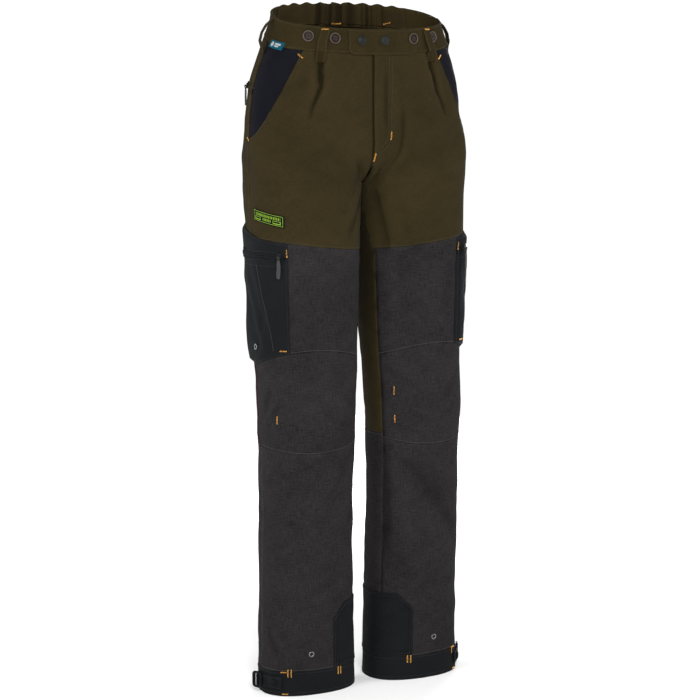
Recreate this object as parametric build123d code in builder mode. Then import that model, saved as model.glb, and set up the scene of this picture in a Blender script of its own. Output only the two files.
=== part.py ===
from build123d import *
import os

import numpy as np

# Forestry cut-protection trousers, standing as if worn. Millimetres, +Z up, the front faces -Y and the
# wearer's left is +X. The hems stand at z = 0 and the origin is midway between the legs.
# One surface gives every sewn panel its place: t runs round the wearer's left half from 0 at the centre
# front (or the inseam of the leg) through 0.5 at the side seam to 1 at the centre back.

# ---- heights -------------------------------------------------------------------------------------
CROTCH = 815.0          # where the inseams meet the seat
CROTCH_CURVE = 70.0     # height over which the two legs merge into one seat, in the middle
HIP_CURVE = 120.0       # and at the sides
WAIST_TOP = 1075.0      # top edge of the waistband, above the side seams
WAIST_SLOPE = 0.30      # rise of the waistband towards the back, per mm
BAND = 38.0             # depth of the waistband
CUFF = 40.0             # depth of the hem cuffs
BACK_KNEE = 413.0       # seam of the back leg, behind the knee

# ---- plan of the leg and of the seat: centre and half sizes at a few heights -----------------------
LEG_Z = (0.0, 150.0, 300.0, 450.0, 600.0, CROTCH)
LEG_CENTRE_X = (94.0, 95.0, 96.0, 95.0, 93.0, 94.0)
LEG_CENTRE_Y = (-8.0, -8.0, -11.0, -15.0, -7.0, 0.0)
LEG_HALF_WIDTH = (80.0, 77.0, 76.0, 79.0, 84.5, 91.0)
LEG_FRONT = (55.0, 58.0, 60.0, 60.0, 66.0, 77.0)
LEG_BACK = (57.0, 61.0, 64.0, 66.0, 79.0, 93.0)
SEAT_Z = (CROTCH, 900.0, 975.0, 1030.0, WAIST_TOP, 1105.0)
SEAT_HALF_WIDTH = (189.0, 186.0, 176.0, 157.0, 142.0, 140.0)
SEAT_FRONT = (75.0, 68.0, 67.0, 67.0, 66.0, 66.0)
SEAT_BACK = (98.0, 95.0, 94.0, 88.0, 80.0, 78.0)
BOX_CENTRE_Y = 9.17     # middle of the whole box, behind the side seams that everything is drawn about
ROUNDNESS = 2.3         # exponent of the superellipses: 2 is an ellipse

# ---- cloth -----------------------------------------------------------------------------------------
CLOTH = 1.8             # outer fabric with its lining
EDGE_FOLD = 0.6         # how far waistband and cuffs stand proud of the panels
GUARD = 7.0             # stack of saw-stopping layers inside the front of the legs
GUARD_GAP = 0.4
INSEAM_FRONT = 0.08     # the inner leg panel reaches this far round the front, in t
INSEAM_BACK = -0.10
INSEAM_TAPER = 110.0    # height over which that panel narrows to the crotch

# ---- seams across the front of the legs: inner end, middle and outer end as (x, z) -------------------
BELOW = ((-20.0, 20.0), (95.0, 21.0), (230.0, 20.0))       # clear of the cloth: these two cut nothing
ABOVE = ((-20.0, 1200.0), (95.0, 1201.0), (230.0, 1200.0))
KNEE_LOW_SEAM = ((-20.0, 424.0), (95.0, 394.0), (230.0, 426.0))
KNEE_HIGH_SEAM = ((-20.0, 522.0), (95.0, 557.0), (230.0, 524.0))
THIGH_SEAM = ((-20.0, 710.0), (95.0, 720.0), (230.0, 742.0))
POCKET_MOUTH_TOP = (104.0, 1045.0)     # hip pocket: the slanted edge of the front panel, as (x, z)
POCKET_MOUTH_END = (188.0, 884.0)
REACH = 260.0           # longer than any cut

# ---- zips ------------------------------------------------------------------------------------------
TAPE = 6.2              # width of one zip tape
TAPE_THICK = 1.0
TOOTH = 2.2             # radial thickness of a row of teeth
ZIP_SLOT = 1.6          # gap between the two rows, where the slider's neck runs
SLIDER_WIDTH = 7.0
SLIDER_HEIGHT = 9.0
SLIDER_PLATE = 1.4
SLIDER_AIR = 0.4        # between the slider's plates and the teeth
PIN_RADIUS = 0.8        # bail pin that a pull swings on
PULL_AIR = 0.15
PULL_THICK = 2.4
PULL_WIDTH = 6.0
PIN_OUT = 4.8           # from the middle of the teeth to the middle of the pin
BEAD = 1.8              # height of a row of teeth

CARGO_ZIP = dict(centre=(100.0, 1.5), radius=88.0, start=-45.5, end=34.0, z=708.0, pull=28.0)
BACK_ZIP = dict(centre=(79.0, -24.0), radius=108.6, start=33.0, end=78.0, z=968.0, pull=24.0)
CARGO_FRONT = 0.352     # cargo pocket, from its front edge
CARGO_BACK = 0.62       # to its back edge, in t
CARGO_TOP = 740.0       # at the side seam; the upper edge rises to the back
CARGO_RISE = 21.0       # from the side seam to 90 mm behind it
CARGO_BOTTOM = 534.0
CARGO_DEPTH = 6.4       # how far the pocket stands off the leg
CARGO_WALL = 1.2

# ---- closure at the waist ----------------------------------------------------------------------------
FLY_ZIP_X = 9.0
FLY_ZIP_Y = -57.5
FLY_TAPE = 12.0
FLY_ZIP_LOW = 868.0
FLY_ZIP_HIGH = 1012.0
FLY_SLIDER_TOP = 1004.0
TAB_HINGE_X = 32.0
TAB_END_X = -46.0
TAB_LOW = 1015.0
TAB_AIR = 0.4
TAB_THICK = 2.2
SNAP_Z = 1037.0
SNAP_X = (-24.0, 15.0)
CAP_RADIUS = 7.5
CAP_HEIGHT = 2.6
SOCKET_RADIUS = 2.8
SHANK_RADIUS = 3.4      # tube behind a cap, through the cloth
STUD_RADIUS = 2.4

# ---- hem straps ----------------------------------------------------------------------------------------
STRAP_CENTRE = (125.0, -9.0)
STRAP_RADIUS = 51.8     # middle of the strap's thickness
STRAP_THICK = 1.6
STRAP_LOW = 12.0
STRAP_HIGH = 32.0
STRAP_Z = 22.0
STRAP_START = -52.0
STRAP_END = 16.0
STRAP_SNAP = -34.0
BUCKLE_ANGLE = -6.0

# ---- trim ------------------------------------------------------------------------------------------------
LOOP_WIDTH = 14.0
LOOP_GAP = 5.0          # room for a belt
LOOP_THICK = 1.4
LOOP_PLACES = (0.19, 0.5, 0.80)
BUTTON_RADIUS = 8.5
BUTTON_PLACES = (0.14, 0.24, 0.88)
EYELET_RADIUS = 5.0
EYELET_HOLE = 2.4


def smooth(z, heights, values):
    """Cubic curve through values given at heights."""
    heights = np.array(heights)
    values = np.array(values)
    z = min(max(z, heights[0]), heights[-1])
    slopes = np.gradient(values, heights)
    i = min(int(np.searchsorted(heights, z, side="right")) - 1, len(heights) - 2)
    step = heights[i + 1] - heights[i]
    u = (z - heights[i]) / step
    start = (2 * u**3 - 3 * u**2 + 1) * values[i] + (u**3 - 2 * u**2 + u) * step * slopes[i]
    stop = (3 * u**2 - 2 * u**3) * values[i + 1] + (u**3 - u**2) * step * slopes[i + 1]
    return start + stop


def superellipse(angle):
    """Cosine and sine of angle, stretched onto a superellipse of half sizes 1."""
    c = np.cos(angle)
    s = np.sin(angle)
    r = (abs(c) ** ROUNDNESS + abs(s) ** ROUNDNESS) ** (-1 / ROUNDNESS)
    return c * r, s * r


def surface(t, z):
    """Point in plan of the trousers' outer surface, on the wearer's left half."""
    c, s = superellipse(np.pi * (1 - 2 * t))
    depth = smooth(z, LEG_Z, LEG_FRONT if s > 0 else LEG_BACK)
    leg_x = smooth(z, LEG_Z, LEG_CENTRE_X) + smooth(z, LEG_Z, LEG_HALF_WIDTH) * c
    leg_y = smooth(z, LEG_Z, LEG_CENTRE_Y) - depth * s
    c, s = superellipse(np.pi * t)
    seat_x = smooth(z, SEAT_Z, SEAT_HALF_WIDTH) * s
    seat_y = -smooth(z, SEAT_Z, SEAT_FRONT if c > 0 else SEAT_BACK) * c
    rise = min(max((z - CROTCH) / CROTCH_CURVE, 0.0), 1.0)
    crease = np.sqrt(1 - (1 - rise) ** 2)
    rise = min(max((z - CROTCH) / HIP_CURVE, 0.0), 1.0)
    ease = rise * rise * (3 - 2 * rise)
    near_middle = abs(np.cos(np.pi * t)) ** 6
    share = crease * near_middle + ease * (1 - near_middle)
    return np.array([leg_x, leg_y]) * (1 - share) + np.array([seat_x, seat_y]) * share


def normal(t, z):
    """Outward direction in plan."""
    step = 0.001
    along = surface(t + step, z) - surface(t - step, z)
    return np.array([along[1], -along[0]]) / np.linalg.norm(along)


def exact_outline(t, z, out):
    """Point in plan, out mm outside the outer surface. Above the crotch it stays on its own half."""
    x, y = surface(t, z) + out * normal(t, z)
    if z > CROTCH:
        x = max(x, 0.0)
    return np.array([x, y])


def section_levels():
    """Heights of the sections of every sheet, closer together round the crotch curve."""
    leg = np.linspace(0.0, CROTCH, 17)
    curve = [CROTCH + CROTCH_CURVE * (1 - np.cos(np.radians(a))) for a in range(15, 91, 15)]
    seat = np.arange(CROTCH + CROTCH_CURVE + 30, WAIST_TOP + 75, 30)
    return np.array([*leg, *curve, *seat])


LEVELS = section_levels()


def outline(t, z, out):
    """Point in plan of a sheet, which runs straight from each section level to the next."""
    i = min(int(np.searchsorted(LEVELS, z, side="right")) - 1, len(LEVELS) - 2)
    low, high = LEVELS[i], LEVELS[i + 1]
    share = (z - low) / (high - low)
    point = exact_outline(t, low, out)
    if share > 0:
        point = point * (1 - share) + exact_outline(t, high, out) * share
    return float(point[0]), float(point[1])


def inseam(z):
    """Edge of the inner leg panel on the front of the leg, in t. It closes at the crotch."""
    return INSEAM_FRONT * min(1.0, (CROTCH - z) / INSEAM_TAPER) if z < CROTCH else 0.0


def inseam_behind(z):
    return INSEAM_BACK * min(1.0, (CROTCH - z) / INSEAM_TAPER) if z < CROTCH else 0.0


def sheet(t_from, t_to, z_from, z_to, inner, outer):
    """A curved sheet of cloth between the offsets inner and outer. t_from and t_to are functions of z."""
    inside_levels = [float(z) for z in LEVELS if z_from + 2 < z < z_to - 2]
    widest = max(t_to(z) - t_from(z) for z in (z_from, *inside_levels, z_to))
    count = max(4, int(np.ceil(widest / 0.04)) + 1)
    with BuildPart() as cloth:
        for z in (z_from, *inside_levels, z_to):
            places = np.linspace(t_from(z), t_to(z), count)
            outside = [outline(t, z, outer) for t in places]
            inside = [outline(t, z, inner) for t in places]
            with BuildSketch(Plane.XY.offset(z)):
                with BuildLine():
                    Spline(*outside)
                    Line(outside[-1], inside[-1])
                    Spline(*inside[::-1])
                    Line(inside[0], outside[0])
                make_face()
        loft(ruled=True)
    return cloth.part


def fixed(t):
    """A seam that runs straight up at one t."""
    return lambda z: t


def between(cloth, lower, upper):
    """The part of cloth between two seams, each given by three points of an arc in front view."""
    with BuildPart() as piece:
        add(cloth)
        with BuildSketch(Plane.XZ.offset(-REACH)):
            with BuildLine():
                ThreePointArc(*lower)
                Line(lower[2], upper[2])
                ThreePointArc(*upper[::-1])
                Line(upper[0], lower[0])
            make_face()
        extrude(amount=2 * REACH, mode=Mode.INTERSECT)
    return piece.part


def waist_line(y, below_top):
    return (y, WAIST_TOP + WAIST_SLOPE * y - below_top)


def under_waist(cloth, upper, lower=1200.0):
    """The part of cloth from lower to upper mm below the waistband's top edge, which slopes."""
    with BuildPart() as piece:
        add(cloth)
        with BuildSketch(Plane.YZ.offset(-REACH)):
            with BuildLine():
                Polyline(
                    waist_line(-REACH, upper),
                    waist_line(REACH, upper),
                    waist_line(REACH, lower),
                    waist_line(-REACH, lower),
                    close=True,
                )
            make_face()
        extrude(amount=2 * REACH, mode=Mode.INTERSECT)
    return piece.part


def ring_band(centre, inner, outer, start, end, low, high):
    """A band that follows a circular arc in plan, angles in degrees from +X."""
    with BuildPart() as band:
        with BuildSketch(Plane.XY.offset(low)):
            with BuildLine():
                near = CenterArc(centre, inner, start, end - start)
                far = CenterArc(centre, outer, start, end - start)
                Line(near @ 0, far @ 0)
                Line(near @ 1, far @ 1)
            make_face()
        extrude(amount=high - low)
    return band.part


def arc_plane(centre, radius, angle, z):
    """Plane standing on an arc: its x runs along the arc, its y is up and its z points outwards."""
    out = Vector(np.cos(np.radians(angle)), np.sin(np.radians(angle)), 0)
    origin = (centre[0] + radius * out.X, centre[1] + radius * out.Y, z)
    return Plane(origin=origin, x_dir=Vector(-out.Y, out.X, 0), z_dir=out)


def surface_plane(t, z, out, side=1):
    """Plane lying on the trousers' surface: x along the cloth, y up it, z outwards."""
    step = 2.0
    x, y = surface(t, z)
    nx, ny = normal(t, z)
    climb = (surface(t, z + step) - surface(t, z - step)) / (2 * step)
    lean = float(climb @ (nx, ny))
    direction = Vector(side * nx, ny, -lean).normalized()
    origin = Vector(side * x, y, z) + direction * out
    return Plane(origin=origin, x_dir=Vector(-direction.Y, direction.X, 0), z_dir=direction)


def across(plane, x, z):
    """Plane square to the given one, through its point (x, 0, z): its x points outwards, its y is up."""
    origin = plane.from_local_coords((x, 0, z))
    return Plane(origin=origin, x_dir=plane.z_dir, z_dir=-plane.x_dir)


def save(part, name):
    """Moves a piece from the drawing's centre to the origin below the middle of the whole box."""
    placed = part.moved(Location((0, -BOX_CENTRE_Y, 0)))
    placed.label = name
    export_step(placed, f"parts/{name}.step")


def save_pair(part, name):
    """Writes a left piece and its mirror image for the right."""
    save(part, f"{name}_left")
    with BuildPart() as other:
        add(mirror(part, about=Plane.YZ, mode=Mode.PRIVATE))
    save(other.part, f"{name}_right")


# ---- front of the legs and hips ----------------------------------------------------------------------
def front_cloth():
    return sheet(inseam, fixed(0.5), CUFF, 1070.0, -CLOTH, 0.0)


def pocket_mouth(cloth, mode):
    """Keeps or removes the hip triangle that lies behind the slanted pocket mouth."""
    with BuildPart() as piece:
        add(cloth)
        with BuildSketch(Plane.XZ.offset(-REACH)):
            with BuildLine():
                Polyline(
                    POCKET_MOUTH_TOP, (REACH, 1045.0), (REACH, 884.0), POCKET_MOUTH_END, close=True
                )
            make_face()
        extrude(amount=2 * REACH, mode=mode)
    return piece.part


def front_pieces():
    cloth = front_cloth()
    save_pair(between(cloth, BELOW, KNEE_LOW_SEAM), "shin_panel")
    save_pair(between(cloth, KNEE_LOW_SEAM, KNEE_HIGH_SEAM), "knee_panel")
    save_pair(between(cloth, KNEE_HIGH_SEAM, THIGH_SEAM), "thigh_guard")
    hip = under_waist(between(cloth, THIGH_SEAM, ABOVE), BAND)
    save_pair(pocket_mouth(hip, Mode.SUBTRACT), "front_panel")
    save_pair(pocket_mouth(hip, Mode.INTERSECT), "hip_stretch_panel")


# ---- back and inside of the legs -----------------------------------------------------------------------
def back_pieces():
    seat = under_waist(
        sheet(fixed(0.5), lambda z: 1.0 + inseam_behind(z), BACK_KNEE, 1090.0, -CLOTH, 0.0), BAND
    )
    slot = zip_slot(BACK_ZIP)
    with BuildPart() as back:
        add(seat)
        add(slot, mode=Mode.SUBTRACT)
    save_pair(back.part, "back_panel")
    save_pair(
        sheet(fixed(0.5), lambda z: 1.0 + inseam(z), CUFF, BACK_KNEE, -CLOTH, 0.0), "back_leg_panel"
    )
    save_pair(sheet(inseam_behind, inseam, BACK_KNEE, CROTCH - 12.0, -CLOTH, 0.0), "inner_leg_panel")


def ankle_patch():
    patch = sheet(fixed(-0.12), fixed(0.20), CUFF + 1, 148.0, 0.3, 1.4)
    with BuildPart() as piece:
        add(patch)
        with BuildSketch(Plane.XZ.offset(-REACH)):
            with BuildLine():
                Polyline((0, 0), (120, 0), (120, 70), (48, 148), (0, 148), close=True)
            make_face()
        extrude(amount=2 * REACH, mode=Mode.INTERSECT)
    save_pair(piece.part, "ankle_patch")


def hem_cuff():
    front = sheet(fixed(0.0), fixed(0.5), 0.0, CUFF, -CLOTH, EDGE_FOLD)
    back = sheet(fixed(0.5), fixed(1.0), 0.0, CUFF, -CLOTH, EDGE_FOLD)
    slot_place = arc_plane(STRAP_CENTRE, STRAP_RADIUS, STRAP_START - 4, (STRAP_LOW + STRAP_HIGH) / 2)
    with BuildPart() as cuff:
        add(front)
        add(back)
        with BuildSketch(slot_place):
            SlotOverall(STRAP_HIGH - STRAP_LOW + 4, 2.4, rotation=90)
        extrude(amount=12, both=True, mode=Mode.SUBTRACT)
    save_pair(cuff.part, "hem_cuff")


def saw_guard():
    outer = -CLOTH - GUARD_GAP
    save_pair(sheet(fixed(0.13), fixed(0.42), 70.0, 790.0, outer - GUARD, outer), "saw_guard")


def pocket_bag():
    bag = sheet(fixed(0.22), fixed(0.47), 850.0, 1010.0, -5.2, -CLOTH - 0.4)
    save_pair(bag, "hand_pocket_bag")


# ---- waistband --------------------------------------------------------------------------------------------
def waistband():
    front = under_waist(
        sheet(fixed(0.0), fixed(0.5), 1005.0, 1105.0, -CLOTH, EDGE_FOLD), 0.0, BAND
    )
    back = under_waist(sheet(fixed(0.5), fixed(1.0), 1005.0, 1125.0, -CLOTH, EDGE_FOLD), 0.0, BAND)
    elastic = under_waist(
        sheet(fixed(0.72), fixed(1.0), 1005.0, 1125.0, -CLOTH - 2.4, -CLOTH - 0.2), 4.0, BAND - 4.0
    )
    save_pair(front, "waistband_front")
    for name, half in (("waistband_back", back), ("waist_elastic", elastic)):
        with BuildPart() as whole:
            add(half)
            add(mirror(half, about=Plane.YZ, mode=Mode.PRIVATE))
        save(whole.part, name)


def belt_loop(t, side):
    """A strap sewn flat above and below the waistband, bowed out between for the belt."""
    top = WAIST_TOP + WAIST_SLOPE * surface(t, WAIST_TOP)[1] - 2
    low = top - BAND - 14
    half = (top - low) / 2
    foot = 7.0
    rest = 2.5
    place = surface_plane(t, top - half, EDGE_FOLD, side)
    outer = [(rest, half), (LOOP_GAP, half - foot), (LOOP_GAP, foot - half), (rest, -half)]
    inner = [(x + LOOP_THICK, y * 1.02) for x, y in outer[::-1]]
    with BuildPart() as loop:
        with BuildSketch(across(place, 0, 0)):
            with BuildLine():
                Polyline(*outer, *inner, close=True)
            make_face()
        extrude(amount=LOOP_WIDTH / 2, both=True)
    return loop.part


def belt_loops():
    with BuildPart() as loops:
        for side in (-1, 1):
            for t in LOOP_PLACES:
                add(belt_loop(t, side))
    save(loops.part, "belt_loops")


def brace_buttons():
    with BuildPart() as buttons:
        for side in (-1, 1):
            for t in BUTTON_PLACES:
                z = WAIST_TOP + WAIST_SLOPE * surface(t, WAIST_TOP)[1] - BAND * 0.42
                with BuildSketch(surface_plane(t, z, EDGE_FOLD + 0.9, side)):
                    Circle(BUTTON_RADIUS)
                    with GridLocations(3.4, 3.4, 2, 2):
                        Circle(0.9, mode=Mode.SUBTRACT)
                extrude(amount=2.6)
    save(buttons.part, "brace_buttons")


# ---- zips -----------------------------------------------------------------------------------------------------
def zip_slot(zip_line):
    """The room that a curved zip takes in the cloth."""
    half = TAPE + ZIP_SLOT / 2
    return ring_band(
        zip_line["centre"], zip_line["radius"] - 6, zip_line["radius"] + 6,
        zip_line["start"] - 3, zip_line["end"] + 3, zip_line["z"] - half, zip_line["z"] + half,
    )


def curved_tapes(zip_line):
    """Two tapes, each with a bead of teeth along its edge, either side of the slot."""
    centre = zip_line["centre"]
    radius = zip_line["radius"]
    start = zip_line["start"] - 3
    end = zip_line["end"] + 3
    with BuildPart() as tapes:
        for way in (-1, 1):
            edge = zip_line["z"] + way * ZIP_SLOT / 2
            for width, thick in ((TAPE, TAPE_THICK), (BEAD, TOOTH)):
                far = edge + way * width
                low, high = min(edge, far), max(edge, far)
                add(ring_band(centre, radius - thick / 2, radius + thick / 2, start, end, low, high))
    return tapes.part


def slider_on(plane, neck):
    """Slider around the teeth: two plates joined by a neck, and two ears with the pin for the pull.
    The plane's z points outwards from the middle of the teeth, and neck is the neck's width and height."""
    face = TOOTH / 2 + SLIDER_AIR
    with BuildPart() as slider:
        for way in (-1, 1):
            with BuildSketch(plane.offset(way * face)):
                RectangleRounded(SLIDER_WIDTH, SLIDER_HEIGHT, 2.0)
            extrude(amount=way * SLIDER_PLATE)
        with BuildSketch(plane.offset(-face)):
            Rectangle(*neck)
        extrude(amount=2 * face)
        for way in (-1, 1):
            with BuildSketch(across(plane, way * (PULL_WIDTH / 2 + 0.4), 0)):
                with Locations((PIN_OUT, 0)):
                    Circle(1.5)
                with Locations(((face + PIN_OUT) / 2 + SLIDER_PLATE / 2, 0)):
                    Rectangle(PIN_OUT - face - SLIDER_PLATE + 0.2, 3.0)
            extrude(amount=0.5, both=True)
        with BuildSketch(across(plane, 0, PIN_OUT)):
            Circle(PIN_RADIUS)
        extrude(amount=PULL_WIDTH / 2 + 0.4, both=True)
    return slider.part


def pull_on(plane, length):
    """A pull hanging from the slider's pin: an eye round the pin, a neck and a moulded grip."""
    eye = PIN_RADIUS + PULL_AIR + 0.7
    with BuildPart() as pull:
        with BuildSketch(across(plane, 0, PIN_OUT)):
            Circle(eye)
            with Locations((0, -eye - 2.4)):
                Rectangle(1.2, 6.4)
            Circle(PIN_RADIUS + PULL_AIR, mode=Mode.SUBTRACT)
        extrude(amount=PULL_WIDTH / 2 - 0.5, both=True)
        with BuildSketch(plane.offset(PIN_OUT - PULL_THICK / 2)):
            with Locations((0, -SLIDER_HEIGHT / 2 - 2 - length / 2)):
                RectangleRounded(PULL_WIDTH, length, 2.2)
        extrude(amount=PULL_THICK)
    return pull.part


def curved_zip_set(zip_line, name):
    place = arc_plane(zip_line["centre"], zip_line["radius"], zip_line["start"], zip_line["z"])
    save_pair(curved_tapes(zip_line), f"{name}_zip")
    save_pair(slider_on(place, (SLIDER_WIDTH * 0.5, ZIP_SLOT * 0.6)), f"{name}_slider")
    save_pair(pull_on(place, zip_line["pull"]), f"{name}_pull")


def fly():
    """The fly's straight zip, hidden behind the front placket, its slider and the shield behind it."""
    middle = (FLY_ZIP_LOW + FLY_ZIP_HIGH) / 2
    tall = FLY_ZIP_HIGH - FLY_ZIP_LOW
    turn_in = 6.6
    with BuildPart() as tapes:
        for way in (-1, 1):
            edge = FLY_ZIP_X + way * ZIP_SLOT / 2
            with Locations((edge + way * FLY_TAPE / 2, FLY_ZIP_Y, middle)):
                Box(FLY_TAPE, TAPE_THICK, tall)
            with Locations((edge + way * BEAD / 2, FLY_ZIP_Y, middle)):
                Box(BEAD, TOOTH, tall)
            with Locations((edge + way * (FLY_TAPE - 0.6), FLY_ZIP_Y - turn_in / 2, middle)):
                Box(1.2, turn_in, tall)
    save(tapes.part, "fly_zip")
    place = Plane(origin=(FLY_ZIP_X, FLY_ZIP_Y, FLY_SLIDER_TOP), x_dir=(1, 0, 0), z_dir=(0, -1, 0))
    save(slider_on(place, (ZIP_SLOT * 0.6, SLIDER_HEIGHT * 0.5)), "fly_slider")
    save(pull_on(place, 16.0), "fly_pull")
    back = FLY_ZIP_Y + 5.0
    with BuildPart() as shield:
        with BuildSketch(Plane(origin=(0, back, 0), x_dir=(1, 0, 0), z_dir=(0, 1, 0))):
            with BuildLine():
                Polyline((-26, -863), (-26, -1014), (26, -1014), (22, -880), close=True)
            make_face()
        extrude(amount=1.4)
        with Locations((-25.4, back - 5.5, (880 + 1014) / 2)):
            Box(1.2, 11.4, 134)
    save(shield.part, "fly_shield")


def side_view(cloth, *corners):
    """The part of cloth inside an outline given by corners (y, z) in side view."""
    with BuildPart() as piece:
        add(cloth)
        with BuildSketch(Plane.YZ.offset(-REACH)):
            with BuildLine():
                Polyline(*corners, close=True)
            make_face()
        extrude(amount=2 * REACH, mode=Mode.INTERSECT)
    return piece.part


def cargo_pocket():
    """A bellows pocket standing off the side of the leg. Its lower edge slopes to a cut back corner."""
    edge = 0.008
    limit = CARGO_TOP + CARGO_RISE
    outer = sheet(fixed(CARGO_FRONT), fixed(CARGO_BACK), 520.0, limit, 0.3, CARGO_DEPTH)
    hollow = sheet(
        fixed(CARGO_FRONT + edge), fixed(CARGO_BACK - edge), 520.0, limit, -0.5,
        CARGO_DEPTH - CARGO_WALL,
    )
    wall = 2.2
    low = CARGO_BOTTOM
    front, back = CARGO_TOP - CARGO_RISE, limit - 1
    with BuildPart() as bag:
        add(side_view(outer, (-90, low + 30), (-5, low), (28, low), (52, low + 26), (90, low + 30),
                      (90, back), (-90, front)))
        add(side_view(hollow, (-90, low + 30 + wall), (-5, low + wall), (27, low + wall),
                      (51, low + 26 + wall), (90, low + 32 + wall), (90, back - wall), (-90, front - wall)),
            mode=Mode.SUBTRACT)
        add(zip_slot(CARGO_ZIP), mode=Mode.SUBTRACT)
    save_pair(bag.part, "cargo_pocket")


# ---- waist tab and snaps ----------------------------------------------------------------------------------
def front_y(x):
    """Depth in plan of the waistband's face near the middle of the front."""
    places = np.linspace(0, 0.2, 81)
    face = [surface(t, SNAP_Z) for t in places]
    return float(np.interp(abs(x), [p[0] for p in face], [p[1] for p in face])) - EDGE_FOLD


def tab_plane(x, out):
    """Plane at a snap, facing forwards, out mm in front of the waistband."""
    return Plane(origin=(x, front_y(x) - out, SNAP_Z), x_dir=(1, 0, 0), z_dir=(0, -1, 0))


def waist_tab():
    inner = [(x, front_y(x) - TAB_AIR) for x in (TAB_HINGE_X, 20, 8, 0, -8, -20, -34, TAB_END_X)]
    outer = [(x, y - TAB_THICK) for x, y in inner[::-1]]
    top = WAIST_TOP + WAIST_SLOPE * front_y(0) - 1
    with BuildPart() as tab:
        with BuildSketch(Plane.XY.offset(TAB_LOW)):
            with BuildLine():
                Spline(*inner)
                Line(inner[-1], outer[0])
                Spline(*outer)
                Line(outer[-1], inner[0])
            make_face()
        extrude(amount=60)
        with BuildSketch(Plane.XZ.offset(-REACH)):
            with BuildLine():
                Polyline(
                    (60, TAB_LOW), (TAB_END_X + 11, TAB_LOW), (TAB_END_X + 3, TAB_LOW + 3),
                    (TAB_END_X, TAB_LOW + 11), (TAB_END_X, top), (60, top), close=True,
                )
            make_face()
        extrude(amount=2 * REACH, mode=Mode.INTERSECT)
        for x in SNAP_X:
            with BuildSketch(tab_plane(x, 0)):
                Circle(SHANK_RADIUS)
            extrude(amount=5, mode=Mode.SUBTRACT)
    save(tab.part, "waist_tab")


def snap_cap(plane, depth):
    """Cap of a snap, with a tubular shank that goes depth mm back through the cloth."""
    with BuildPart() as cap:
        with BuildSketch(plane):
            Circle(CAP_RADIUS)
        extrude(amount=CAP_HEIGHT)
        chamfer(cap.edges().group_by(Axis(plane.origin, plane.z_dir))[-1], length=1.2)
        with BuildSketch(plane):
            Circle(SHANK_RADIUS - 0.05)
            Circle(SOCKET_RADIUS, mode=Mode.SUBTRACT)
        extrude(amount=-depth)
    return cap.part


def stud(plane, height):
    with BuildPart() as knob:
        with BuildSketch(plane):
            Circle(STUD_RADIUS)
        extrude(amount=height)
    return knob.part


def cuff_radius(angle):
    """Distance from the strap's centre to the cuff's face, along an angle."""
    face = [np.array(outline(t, STRAP_Z, EDGE_FOLD)) - STRAP_CENTRE for t in np.linspace(0.3, 0.6, 61)]
    angles = [np.degrees(np.arctan2(p[1], p[0])) for p in face]
    return float(np.interp(angle, angles, [np.hypot(*p) for p in face]))


def hem_strap():
    """Strap round the outside of the cuff, its snap and the adjuster at its end."""
    inner = STRAP_RADIUS - STRAP_THICK / 2
    outer = STRAP_RADIUS + STRAP_THICK / 2
    snap_place = arc_plane(STRAP_CENTRE, outer, STRAP_SNAP, STRAP_Z)
    with BuildPart() as strap:
        add(ring_band(STRAP_CENTRE, inner, outer, STRAP_START, STRAP_END, STRAP_LOW, STRAP_HIGH))
        with BuildSketch(snap_place):
            Circle(SHANK_RADIUS)
        extrude(amount=6, both=True, mode=Mode.SUBTRACT)
    save_pair(strap.part, "hem_strap")
    save_pair(snap_cap(snap_place, STRAP_THICK), "hem_snap_cap")
    with BuildPart() as buckle:
        with BuildSketch(arc_plane(STRAP_CENTRE, outer + 0.1, BUCKLE_ANGLE, STRAP_Z)):
            RectangleRounded(18, 27, 4)
            with GridLocations(8, 1, 2, 1):
                RectangleRounded(3.4, 20.4, 1.5, mode=Mode.SUBTRACT)
        extrude(amount=3.4)
    save_pair(buckle.part, "hem_buckle")


def snap_studs():
    """Studs on the waistband under the tab and on the cuffs under the straps."""
    base = cuff_radius(STRAP_SNAP) + 0.1
    height = STRAP_RADIUS + STRAP_THICK / 2 - 0.3 - base
    hem = stud(arc_plane(STRAP_CENTRE, base, STRAP_SNAP, STRAP_Z), height)
    with BuildPart() as studs:
        for x in SNAP_X:
            add(stud(tab_plane(x, 0.15), TAB_AIR + TAB_THICK - 0.4))
        add(hem)
        add(mirror(hem, about=Plane.YZ, mode=Mode.PRIVATE))
    save(studs.part, "snap_studs")


# ---- trim ---------------------------------------------------------------------------------------------------
def eyelets():
    """Vent eyelets above the hems and drain eyelets in the pockets' lower corners."""
    places = ((0.283, 68.0, 0.1), (0.49, 563.0, CARGO_DEPTH + 0.1))
    with BuildPart() as rings:
        for side in (-1, 1):
            for t, z, out in places:
                with BuildSketch(surface_plane(t, z, out, side)):
                    Circle(EYELET_RADIUS)
                    Circle(EYELET_HOLE, mode=Mode.SUBTRACT)
                extrude(amount=0.9)
    save(rings.part, "eyelets")


def right_only(part, name):
    with BuildPart() as other:
        add(mirror(part, about=Plane.YZ, mode=Mode.PRIVATE))
    save(other.part, name)


def labels():
    right_only(sheet(fixed(0.34), fixed(0.42), 1010.0, 1022.0, 0.3, 1.1), "side_label")
    right_only(sheet(fixed(0.36), fixed(0.472), 753.0, 778.0, 0.3, 1.2), "leg_badge")


def main():
    os.makedirs("parts", exist_ok=True)
    front_pieces()
    back_pieces()
    ankle_patch()
    hem_cuff()
    saw_guard()
    pocket_bag()
    cargo_pocket()
    waistband()
    belt_loops()
    brace_buttons()
    curved_zip_set(CARGO_ZIP, "cargo")
    curved_zip_set(BACK_ZIP, "back_pocket")
    fly()
    waist_tab()
    with BuildPart() as caps:
        for x in SNAP_X:
            add(snap_cap(tab_plane(x, TAB_AIR + TAB_THICK + 0.5), TAB_THICK))
    save(caps.part, "waist_snap_caps")
    hem_strap()
    snap_studs()
    eyelets()
    labels()


main()
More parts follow.
